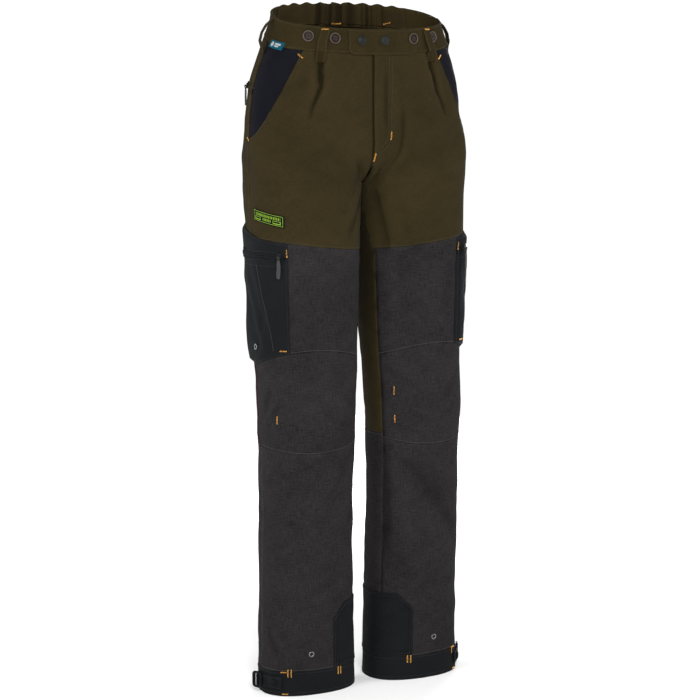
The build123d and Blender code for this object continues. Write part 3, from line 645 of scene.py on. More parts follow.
# ---- materials ---------------------------------------------------------------------------------------
SHADE = 0.36            # the studio is brighter than white paper, so colours as seen are made darker


def linear(r, g, b):
    """A colour as seen, 0 to 255, as a shader's colour."""
    return tuple(SHADE * ((c / 255 + 0.055) / 1.055) ** 2.4 for c in (r, g, b)) + (1.0,)


class Graph:
    """Short names for building a node material."""

    def __init__(self, name):
        self.material = bpy.data.materials.new(name)
        self.material.use_nodes = True
        self.tree = self.material.node_tree
        self.shader = next(n for n in self.tree.nodes if n.type == "BSDF_PRINCIPLED")

    def node(self, kind, inputs=(), **settings):
        n = self.tree.nodes.new("ShaderNode" + kind)
        for k, v in settings.items():
            setattr(n, k, v)
        for k, v in dict(inputs).items():
            self.set(n.inputs[k], v)
        return n

    def set(self, socket, value):
        if isinstance(value, bpy.types.NodeSocket):
            self.tree.links.new(value, socket)
        else:
            socket.default_value = value

    def math(self, operation, a, b=0.0, c=0.0, clamp=False):
        n = self.node("Math", {0: a, 1: b, 2: c}, operation=operation, use_clamp=clamp)
        return n.outputs[0]

    def noise(self, vector, scale, detail=3.0, rough=0.55):
        return self.node("TexNoise", {"Vector": vector, "Scale": scale, "Detail": detail,
                                      "Roughness": rough}).outputs["Fac"]

    def stretch(self, vector, x, y, z=1.0):
        return self.node("VectorMath", {0: vector, 1: (x, y, z)}, operation="MULTIPLY").outputs[0]

    def mix(self, share, a, b, kind="MIX"):
        n = self.node("Mix", data_type="RGBA", blend_type=kind)
        for k, v in ((0, share), (6, a), (7, b)):
            self.set(n.inputs[k], v)
        return n.outputs[2]

    def ramp(self, value, low, high):
        return self.node("MapRange", {"Value": value, "From Min": low, "From Max": high}).outputs[0]

    def finish(self, **sockets):
        for k, v in sockets.items():
            self.set(self.shader.inputs[k.replace("_", " ")], v)
        return self.material


def fabric(name, dark, light, pitch=0.9, twill=False, ripstop=0.0, heather=1.0, rough=0.9, sheen=0.01,
           bump=0.35, scale=1.0):
    """Woven cloth: warp and weft, uneven yarn, fading, paler rubbed edges, painted highlight on fold ridges
    and painted shade.
    """
    g = Graph(name)
    uv = g.node("UVMap", uv_map="cloth").outputs[0]
    split = g.node("SeparateXYZ", {0: uv})
    k = 2 * math.pi / (pitch * MM)
    if twill:
        diagonal = g.math("ADD", split.outputs[0], split.outputs[1])
        weave = g.math("SINE", g.math("MULTIPLY", diagonal, k))
    else:
        weave = g.math("MULTIPLY", g.math("SINE", g.math("MULTIPLY", split.outputs[0], k)),
                       g.math("SINE", g.math("MULTIPLY", split.outputs[1], k)))
    weave = g.math("MULTIPLY_ADD", weave, 0.5, 0.5)
    warp = g.noise(g.stretch(uv, 1400 * scale, 130 * scale), 1.0, 2.0)
    weft = g.noise(g.stretch(uv, 130 * scale, 1400 * scale), 1.0, 2.0)
    yarn = g.ramp(g.math("MULTIPLY_ADD", g.math("ADD", warp, weft), 0.5, 0.0), 0.36, 0.64)
    mottle = g.ramp(g.noise(uv, 620 * scale, 4.0, 0.7), 0.3, 0.7)
    faded = g.ramp(g.noise(uv, 9.0, 3.0), 0.3, 0.75)
    tone = g.math("MULTIPLY_ADD", yarn, 0.55 * heather, g.math("MULTIPLY", mottle, 0.45 * heather))
    tone = g.math("MULTIPLY_ADD", faded, 0.25, g.math("MULTIPLY", tone, 0.75))
    tone = g.math("MULTIPLY_ADD", weave, 0.12, tone, clamp=True)
    height = g.math("MULTIPLY_ADD", weave, 0.6, g.math("MULTIPLY", yarn, 0.4))
    if ripstop:
        line = 0.0
        for axis in (0, 1):
            part = g.math("PINGPONG", split.outputs[axis], ripstop * MM / 2)
            line = g.math("MAXIMUM", g.ramp(part, 0.35 * MM, 0.1 * MM), line)
        tone = g.math("MULTIPLY_ADD", line, 0.3, tone, clamp=True)
        height = g.math("MULTIPLY_ADD", line, 0.8, height)
    # Above zero the attribute gives paler rubbed edges and painted highlight on fold ridges; below zero it
    # gives painted shade.
    attribute = g.node("Attribute", attribute_name="wear_and_shade").outputs["Fac"]
    wear_and_highlight = g.math("MULTIPLY", g.math("MAXIMUM", attribute, 0.0), g.ramp(g.noise(uv, 45.0, 4.0), 0.3, 0.8))
    deep = g.math("MULTIPLY", g.math("MAXIMUM", g.math("MULTIPLY", attribute, -1.0), 0.0), 0.62)
    colour = g.mix(deep, g.mix(tone, linear(*dark), linear(*light)), linear(*(c * 0.35 for c in dark)))
    pale = tuple(min(255, c * 1.22 + 6) for c in light)
    colour = g.mix(g.math("MULTIPLY", wear_and_highlight, 0.5), colour, linear(*pale))
    normal = g.node("Bump", {"Strength": bump, "Distance": 0.0004, "Height": height}).outputs[0]
    return g.finish(Base_Color=colour, Roughness=g.math("MULTIPLY_ADD", yarn, -0.08, rough), Normal=normal,
                    Sheen_Weight=sheen, Sheen_Roughness=0.5, Specular_IOR_Level=0.02)


def hard(name, dark, light, rough=0.4, metal=0.0, coat=0.0, scale=600.0, scratch=0.25, specular=0.22):
    """Moulded plastic or metal with fine grain and rubbed patches."""
    g = Graph(name)
    at = g.node("TexCoord").outputs["Object"]
    grain = g.noise(at, scale, 4.0, 0.7)
    rub = g.ramp(g.noise(at, scale / 9, 5.0, 0.65), 0.35, 0.7)
    tone = g.math("MULTIPLY_ADD", rub, 0.6, g.math("MULTIPLY", grain, 0.4))
    colour = g.mix(tone, linear(*dark), linear(*light))
    normal = g.node("Bump", {"Strength": 0.15, "Distance": 0.0002, "Height": grain}).outputs[0]
    return g.finish(Base_Color=colour, Roughness=g.math("MULTIPLY_ADD", rub, scratch, rough - scratch / 2),
                    Normal=normal, Metallic=metal, Coat_Weight=coat, Specular_IOR_Level=specular)


def thread(name, dark, light, gain=1.0):
    """Twisted sewing thread. gain brightens a colour that the studio would leave dull."""
    g = Graph(name)
    dark, light = (tuple(c * gain for c in linear(*colour)[:3]) + (1.0,) for colour in (dark, light))
    at = g.node("TexCoord").outputs["Object"]
    twist = g.noise(at, 1800.0, 2.0)
    normal = g.node("Bump", {"Strength": 0.3, "Distance": 0.0002, "Height": twist}).outputs[0]
    return g.finish(Base_Color=g.mix(g.ramp(twist, 0.3, 0.7), dark, light), Normal=normal,
                    Roughness=0.62, Specular_IOR_Level=0.3)


OLIVE = fabric("olive_canvas", (50, 43, 25), (84, 73, 46), pitch=1.0, twill=True, heather=0.9, scale=0.8)
BAND_CLOTH = fabric("waistband_cloth", (49, 41, 23), (81, 70, 42), pitch=1.0, twill=True, heather=0.85,
                    scale=0.8)
GREY = fabric("grey_guard", (24, 22, 23), (70, 67, 68), pitch=1.3, heather=1.25, scale=0.5)
NAVY = fabric("navy_stretch", (24, 24, 31), (40, 41, 50), pitch=0.7, heather=0.7, sheen=0.01, rough=0.8)
RIPSTOP = fabric("dark_ripstop", (30, 32, 34), (45, 47, 49), pitch=0.8, ripstop=5.5, heather=0.6, rough=0.72)
BLACK = fabric("black_hem", (27, 28, 30), (47, 49, 51), pitch=0.9, ripstop=4.0, heather=0.7, rough=0.75)
BAND_INSIDE = fabric("waistband_lining", (60, 50, 28), (92, 79, 48), pitch=1.2, heather=0.8)
LINING = fabric("lining", (30, 24, 17), (48, 39, 28), pitch=1.6, heather=0.8, rough=0.95)
ELASTIC = fabric("elastic", (56, 46, 28), (86, 73, 46), pitch=1.8, heather=0.8, rough=0.85)
POCKETING = fabric("pocket_lining", (40, 40, 42), (62, 62, 64), pitch=1.2, heather=0.6)
GUARD = fabric("guard_layers", (168, 164, 150), (206, 202, 188), pitch=2.2, heather=0.9, rough=0.95)
TAPE = fabric("zip_tape", (32, 34, 36), (48, 50, 52), pitch=1.0, heather=0.6)
LABEL = fabric("label_cloth", (20, 92, 112), (36, 124, 146), pitch=0.5, heather=0.5)
LABEL_WHITE = fabric("label_white", (206, 210, 212), (238, 240, 240), pitch=0.5, heather=0.5)
BADGE = fabric("badge_cloth", (18, 22, 30), (32, 38, 48), pitch=0.6, heather=0.5)
LIME = fabric("badge_lime", (158, 206, 52), (196, 240, 84), pitch=0.6, heather=0.8)
PIPING = fabric("piping", (70, 40, 46), (98, 62, 70), pitch=0.8)
OLIVE_THREAD = thread("olive_thread", (70, 61, 38), (104, 92, 62))
GREY_THREAD = thread("grey_thread", (84, 82, 83), (122, 119, 119))
BLACK_THREAD = thread("black_thread", (34, 36, 38), (58, 60, 62))
ORANGE = thread("orange_thread", (246, 160, 60), (255, 200, 104), gain=2.3)
BROWN_THREAD = thread("brown_thread", (48, 34, 24), (78, 56, 42))
TEETH = hard("zip_teeth", (28, 30, 32), (46, 48, 50), rough=0.5, specular=0.1)
ZIP_METAL = hard("zip_metal", (30, 31, 33), (74, 75, 77), rough=0.38, metal=0.8)
SNAP = hard("snap_metal", (38, 40, 40), (64, 66, 66), rough=0.55, metal=0.3, specular=0.12)
HEM_SNAP = hard("hem_snap", (14, 14, 15), (30, 30, 32), rough=0.5, specular=0.08)
NICKEL = hard("eyelet_metal", (130, 132, 134), (200, 202, 204), rough=0.26, metal=0.95)
BUTTON = hard("button_plastic", (82, 74, 66), (132, 122, 112), rough=0.42)
BUTTON_DARK = hard("button_centre", (40, 27, 19), (66, 45, 33), rough=0.5, specular=0.08)
BUCKLE = hard("buckle_plastic", (9, 9, 10), (20, 20, 22), rough=0.28, specular=0.1)
GRIP = hard("pull_grip", (44, 44, 47), (72, 72, 76), rough=0.6, specular=0.35)
GRIP_EDGE = hard("pull_edge", (150, 66, 26), (196, 96, 44), rough=0.5)

CAD_LOOKS = {"slider": ZIP_METAL, "studs": SNAP}
for node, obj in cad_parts.items():
    look = next((m for key, m in CAD_LOOKS.items() if key in node), ZIP_METAL)
    for s in obj.material_slots:
        s.material = look

SIDES = ((1, "left"), (-1, "right"))


# ---- cloth panels ------------------------------------------------------------------------------------
def panel(name, side, grid, materials, replaces, out=0.0, thick=1.6, edge=1.0, hole=None,
          extra=None, pucker=0.22, body="trousers", flip=None,
          open_start=False, stitch_painted_shade=0.0, seam_painted_shade=0.0,
          dark_at=(2.0, 3.2), shade=0.0):
    """One sewn panel: turned edges, a dip under the stitching, seam pucker and the lining behind, with
    painted shade in folds, along stitching, along seams and where the caller asks, and painted highlight on
    fold ridges.
    """
    T, Z = grid
    calm = place(T, Z, out, side)
    d, wide, tall = edge_distance(calm)
    if open_start:
        across, up = run(calm, 0) / MM, run(calm, 1) / MM
        d = np.minimum.reduce([across[-1:] - across, up, up[:, -1:] - up])
    rise = edge * np.interp(d, NEAR_EDGE, EDGE_SHAPE)
    s = T * AROUND
    rise = rise + pucker * np.exp(-d / 6) * np.sin((s + 1.3 * Z) * 2 * np.pi / 8.3 + 2 * np.sin(s / 17))
    if extra is not None:
        rise = rise + extra
    outer, inner = place(T, Z, out + rise, side), place(T, Z, out - thick + 0.6 * rise, side)
    # Painted shade in the valleys of the folds and painted highlight on their ridges, besides paler rubbed
    # edges.
    high = hollows(relief(T, Z, side))
    wear_and_shade = np.maximum(np.exp(-d / 2.2), 0.5 * high) * (high > -0.05) + np.minimum(high, 0)
    # Painted shade in the dips along the rows of stitching.
    wear_and_shade = wear_and_shade - stitch_painted_shade * (np.exp(-((d - 2.6) / 0.9) ** 2) + 0.8 * np.exp(-((d - 7.5) / 1.6) ** 2))
    # Painted shade from the caller, and a painted shadow along the panel's first edge, at dark_at.
    wear_and_shade = wear_and_shade - shade - seam_painted_shade * np.exp(-((run(calm, 0) / MM - dark_at[0]) / dark_at[1]) ** 2)
    bag = Bag()
    flip = np.mean(side) < 0 if flip is None else flip
    bag.shell(outer, inner, flip=flip, uv=cloth_uv(T, Z, side), wear_and_shade=wear_and_shade, hole=hole)
    obj = bag.piece(name, materials, body, replaces)
    return obj


def rows_of(grid, rows=(), columns=()):
    """Lines of a grid, for stitching. Lines 3 and -4 lie 2.6 mm inside an edge, 5 and -6 lie 6 mm inside."""
    T, Z = grid
    return [(T[:, r], Z[:, r]) for r in rows] + [(T[c, :], Z[c, :]) for c in columns]


knee_low, knee_high, thigh = seam(KNEE_LOW_SEAM), seam(KNEE_HIGH_SEAM), seam(THIGH_SEAM)


def waist_low(t):
    """Lower edge of the waistband."""
    return waist_height(t, BAND)


def whole_cells(inside):
    """Cells of a grid that have all four corners inside."""
    return inside[:-1, :-1] & inside[1:, :-1] & inside[1:, 1:] & inside[:-1, 1:]


def back_hole(T, Z):
    """Cells of a grid that the back pocket's zip takes."""
    x, y = plan(T, Z)
    angle = np.degrees(np.arctan2(y - BACK_ZIP["centre"][1], x - BACK_ZIP["centre"][0]))
    inside = (abs(Z - BACK_ZIP["z"]) < 5.0) & (angle > BACK_ZIP["start"] - 3) & (angle < BACK_ZIP["end"] + 3)
    return whole_cells(inside)


def with_rows(grid, heights):
    """The grid again, with its nearest rows moved onto the given heights."""
    T, Z = grid
    Z = Z.copy()
    for h in heights:
        j = int(np.argmin(abs(Z[len(Z) // 2] - h)))
        Z[:, j] = h
    return T, Z


def side_seam(z):
    """The side seam, which lies further back beside the knee."""
    return 0.5 + 0.042 * ease((z - 395) / 30) * ease((580 - z) / 24)


for side, hand in SIDES:
    lines = Bag()
    shin = lattice(inseam, side_seam, fixed(CUFF), knee_low)
    knee = lattice(inseam, side_seam, knee_low, knee_high)
    guard = lattice(inseam, side_seam, knee_high, thigh)
    lap = (lambda z: inseam(z) - 0.004 * ease((z - 858) / 6)) if side > 0 else inseam
    front = lattice(lap, fixed(0.5), thigh, mouth, step=2.8, crotch=True)
    fly_zone = ease((0.035 - front[0]) / 0.03) * ease((front[1] - 852) / 12)
    # Painted shadow of the seam along the inseam, and on the front panels at the fly's edge.
    panel(f"shin_{hand}", side, shin, [GREY, LINING], [f"shin_panel_{hand}"], seam_painted_shade=1.0)
    panel(f"knee_{hand}", side, knee, [GREY, LINING], [f"knee_panel_{hand}"], seam_painted_shade=1.0)
    panel(f"thigh_{hand}", side, guard, [GREY, LINING], [f"thigh_guard_{hand}"],
          seam_painted_shade=1.0)
    panel(f"front_{hand}", side, front, [OLIVE, LINING], [f"front_panel_{hand}"], out=0.25,
          extra=fly_zone * (1.3 if side > 0 else -1.2), seam_painted_shade=1.6,
          dark_at=(0, 1.0) if side > 0 else (3.2, 1.3))
    for grid in (shin, knee, guard):
        for t, z in rows_of(grid, rows=(3,)):
            stitch(lines, t, z, side, slot=1)
    for t, z in rows_of(front, rows=(3,)):
        stitch(lines, t, z, side, out=0.45, slot=0)
    for t, z in rows_of(front, rows=(-4, -6)):
        keep = t > 0.33
        stitch(lines, t[keep], z[keep], side, out=0.45, slot=0)

    mouth_start = float(t_at(*MOUTH_START))
    stretch = lattice(fixed(mouth_start - 0.012), fixed(0.5), lambda t: mouth(t) - 9.0, waist_low, step=5.0)
    panel(f"hip_stretch_{hand}", side, stretch, [NAVY, LINING],
          [f"hip_stretch_panel_{hand}"], out=-1.9, edge=0.3, pucker=0.1)

    leg_t = lambda z: 1.0 + inseam_behind(z)
    back = with_rows(lattice(side_seam, leg_t, fixed(BACK_KNEE), waist_low, crotch=True),
                     [BACK_ZIP["z"] - 4.9, BACK_ZIP["z"] + 4.9])
    panel(f"back_{hand}", side, back, [OLIVE, LINING], [f"back_panel_{hand}"],
          hole=back_hole(*back))
    back_leg = lattice(side_seam, lambda z: 1.0 + inseam(z), fixed(CUFF), fixed(BACK_KNEE))
    panel(f"back_leg_{hand}", side, back_leg, [GREY, LINING], [f"back_leg_panel_{hand}"])
    inner = lattice(inseam_behind, inseam, fixed(BACK_KNEE), fixed(CROTCH - 2))
    # Painted shade between the legs, darker towards the crotch.
    panel(f"inner_leg_{hand}", side, inner, [OLIVE, LINING], [f"inner_leg_panel_{hand}"],
          shade=0.8 * ease((inner[1] - 500) / 200))
    for t, z in rows_of(back, columns=(3, -4, -6)) + rows_of(inner, columns=(3,)):
        stitch(lines, t, z, side, slot=0)
    for t, z in rows_of(back_leg, rows=(-4,), columns=(3,)) + rows_of(shin, columns=(-4,)):
        stitch(lines, t, z, side, slot=1)
    lines.piece(f"topstitching_{hand}", [OLIVE_THREAD, GREY_THREAD])


# ---- hems --------------------------------------------------------------------------------------------
def patch_top(t):
    """Upper edge of the ankle patch, cut off at a slant towards the front."""
    z = np.full(np.shape(t), 120.0)
    for _ in range(6):
        x = plan(t, z)[0]
        cut = np.clip(PATCH_TOP - (x - PATCH_CUT_X) * PATCH_SLOPE, PATCH_LOW, PATCH_TOP)
        z = np.where(t < 0.02, PATCH_TOP, cut)
    return z


for side, hand in SIDES:
    lines = Bag()
    cuff = lattice(fixed(0.0), fixed(1.0), fixed(0.0), fixed(CUFF))
    panel(f"cuff_{hand}", side, cuff, [BLACK, LINING], [f"hem_cuff_{hand}"], out=EDGE_FOLD,
          thick=2.2)
    patch = lattice(fixed(-0.12), fixed(0.205), fixed(CUFF + 1), patch_top)
    panel(f"ankle_{hand}", side, patch, [BLACK, BLACK], [f"ankle_patch_{hand}"], out=1.5,
          thick=1.1, edge=1.9, stitch_painted_shade=1.1)
    for t, z in rows_of(cuff, rows=(5, -4)):
        stitch(lines, t, z, side, out=0.75)
    for t, z in rows_of(patch, rows=(3, 5, -4, -6), columns=(3, -4, -6)):
        stitch(lines, t, z, side, out=1.75)
    lines.piece(f"hem_stitching_{hand}", [BLACK_THREAD])

# ---- waistband ---------------------------------------------------------------------------------------
def band_top(t):
    return waist_height(t, 0.0)


def whole_back(first, low, high, step=3.6):
    """Grid across the back of both halves, from t = first on the right to the same on the left."""
    wide = 2 * (1 - first) * AROUND
    w = samples(wide, step) * 2 - 1
    tall = samples(float(np.max(high(np.array([1.0])) - low(np.array([1.0])))), step)
    W, V = np.meshgrid(w, tall, indexing="ij")
    T, side = 1 - (1 - first) * abs(W), np.where(W < 0, -1.0, 1.0)
    bottom, top = low(T), high(T)
    return T, bottom + (top - bottom) * V, side


band_lines = Bag()
for side, hand in SIDES:
    grid = lattice(fixed(0.0), fixed(0.5), waist_low, band_top, step=3.6)
    panel(f"waistband_{hand}", side, grid, [BAND_CLOTH, BAND_INSIDE],
          [f"waistband_front_{hand}"], out=EDGE_FOLD, thick=2.2, pucker=0.3)
    for t, z in rows_of(grid, rows=(3, -4)):
        stitch(band_lines, t, z, side, out=0.8)

T, Z, sides = whole_back(0.5, waist_low, band_top)
ripple = ease((T - 0.7) / 0.1) * 1.6 * np.sin(T * AROUND * sides / 4.7 + 1)
Z = Z + np.where(Z > waist_height(T, 19), ripple, 0)
panel("waistband_rear", sides, (T, Z), [BAND_CLOTH, BAND_INSIDE], ["waistband_back"],
      out=EDGE_FOLD, thick=2.2, flip=True, pucker=0.35)
for way in (-1, 1):
    half = sides[:, 0] == way
    for row in (3, -4):
        stitch(band_lines, T[half, row], Z[half, row], way, out=0.8)
T, Z, sides = whole_back(0.72, lambda t: waist_height(t, 34), lambda t: waist_height(t, 4))
panel("elastic_rear", sides, (T, Z), [ELASTIC, ELASTIC], ["waist_elastic"], out=-2.3, thick=1.6,
      flip=True, pucker=0.2, edge=0.4)


# ---- waist tab: over the closure, from the wearer's left ---------------------------------------------
def tab_grid(x0, x1, round_corner):
    """Grid over the front from x0 to x1, which may cross the middle, with a rounded lower corner at x0."""
    x = x1 + (x0 - x1) * samples(x1 - x0, 3.0)
    bend = 11.0
    near = np.clip(x - x0, 0, bend)
    low = TAB_LOW + (bend - np.sqrt(bend**2 - (bend - near) ** 2) if round_corner else 0 * x)
    v = samples(38.0, 3.0)
    X, V = np.meshgrid(x, v, indexing="ij")
    side = np.where(X < 0, -1.0, 1.0)
    T = t_at(abs(X), np.full(X.shape, SNAP_Z))
    top = waist_height(T, 1.0)
    Z = low[:, None] + (top - low[:, None]) * V
    return t_at(abs(X), Z), Z, side, X


T, Z, sides, X = tab_grid(*TAB_X, True)
panel("closing_tab", sides, (T, Z), [BAND_CLOTH, BAND_INSIDE], ["waist_tab"], out=3.1,
      thick=2.0, body="waist_tab", flip=False, open_start=True)
tab_lines = Bag()
for line in ((T[:, 3], Z[:, 3], sides[:, 3]), (T[:, -4], Z[:, -4], sides[:, -4]), (T[-4], Z[-4], sides[-4])):
    p, n = place(line[0], line[1], 3.3, line[2]), direction(line[0], line[1])
    n[:, 0] *= line[2]
    threads(tab_lines, p, n)
tab_lines.piece("tab_stitching", [OLIVE_THREAD], body="waist_tab")
# Beyond its hinge the tab slopes down onto the band.
ROOT_RISE = 2.3
T, Z, sides, X = tab_grid(TAB_X[1] + 0.15, TAB_X[1] + 42, False)
slope = ROOT_RISE * ease((TAB_X[1] + 40 - X) / 38)
up = run(place(T, Z, EDGE_FOLD, 1), 1) / MM
slope = slope + np.interp(np.minimum(up, up[:, -1:] - up), NEAR_EDGE, EDGE_SHAPE) * slope / ROOT_RISE
root = Bag()
root.shell(place(T, Z, EDGE_FOLD + 0.2 + slope, 1), place(T, Z, EDGE_FOLD - 0.6, 1), flip=True,
           uv=cloth_uv(T, Z, 1))
for row in (3, -4):
    threads(root, place(T[:, row], Z[:, row], EDGE_FOLD + 0.4 + slope[:, row], 1),
            direction(T[:, row], Z[:, row]), slot=1)
root_obj = root.piece("tab_root", [BAND_CLOTH, OLIVE_THREAD], body=None)
hinge_y = float(place(T[0, 3], Z[0, 3], EDGE_FOLD, 1)[1])
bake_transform(root_obj)
band_lines.piece("waist_stitching", [OLIVE_THREAD])


# ---- shape of the cargo pockets ----------------------------------------------------------------------
ZIP_GAP = 3.4


def pocket_bottom(t):
    """Lower edge of the cargo pocket, with its corners cut off."""
    y = plan(t, np.full(np.shape(t), 560.0))[1]
    places = [-75, -48, -12, 0, 26, 44, 56, 75]
    return CARGO_BOTTOM + np.interp(y, places, [26, 14.5, 2.2, 0, 0.5, 14, 26, 29])


def pocket_top(t):
    """Upper edge of the cargo pocket, which rises to the back."""
    return CARGO_TOP + CARGO_RISE * plan(t, np.full(np.shape(t), CARGO_TOP))[1]


def zip_place(t, z):
    """Angle on the zip's arc, and how far inside the zip's run a place is, 0 to 1."""
    x, y = plan(t, z)
    angle = np.degrees(np.arctan2(y - CARGO_ZIP["centre"][1], x - CARGO_ZIP["centre"][0]))
    return angle, ease((angle - CARGO_ZIP["start"] + 6) / 5) * ease((CARGO_ZIP["end"] + 6 - angle) / 5)


# Folds of the cargo pocket in mm: a place across and up, lean, half width, height and where the fold ends.
POCKET_FOLDS = (
    (30, 60, 0.34, 9, 1.5, 170), (46, 60, 0.34, 8, -1.4, 170), (60, 80, 0.30, 10, 1.6, 175),
    (78, 80, 0.32, 9, -1.6, 175), (96, 90, -0.16, 12, 1.5, 160), (24, 110, -0.42, 9, -1.3, 175))


def pocket_level(t, z, side):
    """How far the cargo pocket's cloth stands off the leg, with its folds and the lips of its zip."""
    across, up = (t - CARGO_T[0]) * AROUND, z - pocket_bottom(t)
    beside = np.minimum(across, (CARGO_T[1] - t) * AROUND)
    top = pocket_top(t) - z
    puff = ease((beside + 1.2) / 7.5) * ease((up + 1.2) / 8) * (0.25 + 0.75 * ease((top + 1) / 9))
    x, y = plan(t, z)
    reach = CARGO_ZIP["radius"] - np.hypot(x - CARGO_ZIP["centre"][0], y - CARGO_ZIP["centre"][1])
    span = zip_place(t, z)[1]
    from_zip = abs(z - CARGO_ZIP["z"]) - ZIP_GAP
    lip = np.exp(-(np.maximum(from_zip, 0) / 3.0) ** 2) * span
    soft = 1.1 * np.sin(across / 14 + up / 38 + side) + 0.8 * np.sin(up / 21 - across / 30 + 2 * side)
    fold = 0
    for a, u, k, w, h, up_to in POCKET_FOLDS:
        ridge = np.exp(-((across - a - (up - u) * k) / w) ** 2)
        fold = fold + h * ridge * ease((up - 8) / 25) * ease((up_to - up) / 30)
    level = 0.4 + (CARGO_DEPTH - 0.6 + 0.6 * soft + fold) * puff
    beside_zip = reach - relief(t, z, side) + 0.75 - 0.7 * np.exp(-(from_zip / 0.8) ** 2)
    level = level * (1 - lip) + beside_zip * lip
    nearest = np.minimum.reduce([beside, up, top])
    level = level - 0.4 * np.exp(-((nearest - 2.6) / 0.9) ** 2)
    return level - 0.35 * np.exp(-((z - CARGO_ZIP["z"] + 16) / 1.6) ** 2) * puff


# ---- small hardware ----------------------------------------------------------------------------------
def snap_cap(bag, at, slot=0):
    bag.add(*dome([(0.01, 2.75), (2.2, 2.7), (4.4, 2.35), (5.7, 1.75), (6.2, 1.35), (6.6, 1.45), (7.2, 1.2),
                   (7.5, 0.7), (7.4, 0.15), (7.0, 0.0), (0.01, 0.0)], at, 36), slot=slot)


def at_snap(x, out):
    return frame_at(float(t_at(x, SNAP_Z)), SNAP_Z, out, math.copysign(1, x))


caps = Bag()
for x in SNAP_X:
    snap_cap(caps, at_snap(x, 3.25))
    socket = [(2.9, -2.0), (6.3, -2.0), (6.2, -2.35), (5.0, -2.6), (3.3, -2.55)]
    caps.add(*lathe(socket, at_snap(x, 3.1), 30))
caps.piece("snap_caps_waist", [SNAP], body="waist_tab", replaces=["waist_snap_caps"])

BASE_PROFILE = [(2.4, 0.4), (6.4, 0.4), (6.3, 0.8), (5.6, 1.0), (2.6, 1.05)]
round_leg = np.linspace(0.3, 0.6, 301)
x, y = plan(round_leg, np.full(301, STRAP_Z))
cap_angles = np.degrees(np.arctan2(y - STRAP_CENTRE[1], x - STRAP_CENTRE[0]))
under_cap = float(round_leg[np.argmin(abs(cap_angles - STRAP_SNAP))])
bases = Bag()
for x in SNAP_X:
    bases.add(*lathe(BASE_PROFILE, at_snap(x, 0.0), 30))
for side, hand in SIDES:
    bases.add(*lathe(BASE_PROFILE, frame_at(under_cap, STRAP_Z, 0.0, side), 30))
bases.piece("stud_bases", [SNAP])

buttons = Bag()
for side, hand in SIDES:
    for t in BUTTON_PLACES:
        z = float(waist_height(np.array(t), BAND * 0.42))
        at = frame_at(t, z, EDGE_FOLD + 0.9, side)
        origin, ax, ay, n = at
        rim = [(8.5, 0.5), (8.5, 1.5), (8.2, 2.2), (7.7, 2.5), (7.1, 2.3), (6.7, 1.6), (6.7, 0.5)]
        buttons.add(*lathe(rim, at, 36), slot=0)
        buttons.add(*dome([(0.01, 1.5), (5.2, 1.4), (6.9, 1.7), (6.9, 0.4), (0.01, 0.3)], at, 30), slot=1)
        for i, j in ((-1, -1), (1, -1), (-1, 1), (1, 1)):
            hole = origin + (ax * i + ay * j) * 1.7 * MM
            edge = [(1.5, 1.45), (1.3, 1.85), (1.0, 1.7), (1.0, 1.2)]
            buttons.add(*lathe(edge, (hole, ax, ay, n), 12), slot=0)
        for k in (-1, 1):
            for lift in (0, 1):
                a0 = origin + (ax * 1.7 * k + ay * (1.9 - 0.5 * lift)) * MM
                b0 = origin + (ax * 1.7 * (k if lift else -k) - ay * (1.9 - 0.5 * lift)) * MM
                path = [a0 + n * 1.2 * MM, a0 + n * 2.1 * MM, (a0 + b0) / 2 + n * (2.4 + 0.4 * lift) * MM,
                        b0 + n * 2.1 * MM, b0 + n * 1.2 * MM]
                buttons.add(*sweep(path, [ax, ax, n, ax, ax], circle(0.42, 6)), slot=2)
buttons.piece("buttons", [BUTTON, BUTTON_DARK, BROWN_THREAD],
              replaces=["brace_buttons"])

eyelets = Bag()
for side, hand in SIDES:
    for t, z, out in ((0.283, 68.0, 0.2), (0.49, 563.0, None)):
        if out is None:
            out = float(pocket_level(t, z, side)) + 0.1
        at = frame_at(t, z, out, side)
        ring = [(5.0, 0.0), (4.9, 0.5), (4.3, 0.95), (3.5, 1.0)]
        ring += [(2.7, 0.6), (2.4, 0.0), (2.5, -1.0), (4.0, -1.2)]
        eyelets.add(*lathe(ring, at, 32))
        eyelets.add(*dome([(0.01, -0.35), (2.6, -0.3), (2.6, -0.9), (0.01, -0.9)], at, 16), slot=1)
eyelets.piece("vent_eyelets", [NICKEL, BUTTON_DARK], replaces=["eyelets"])

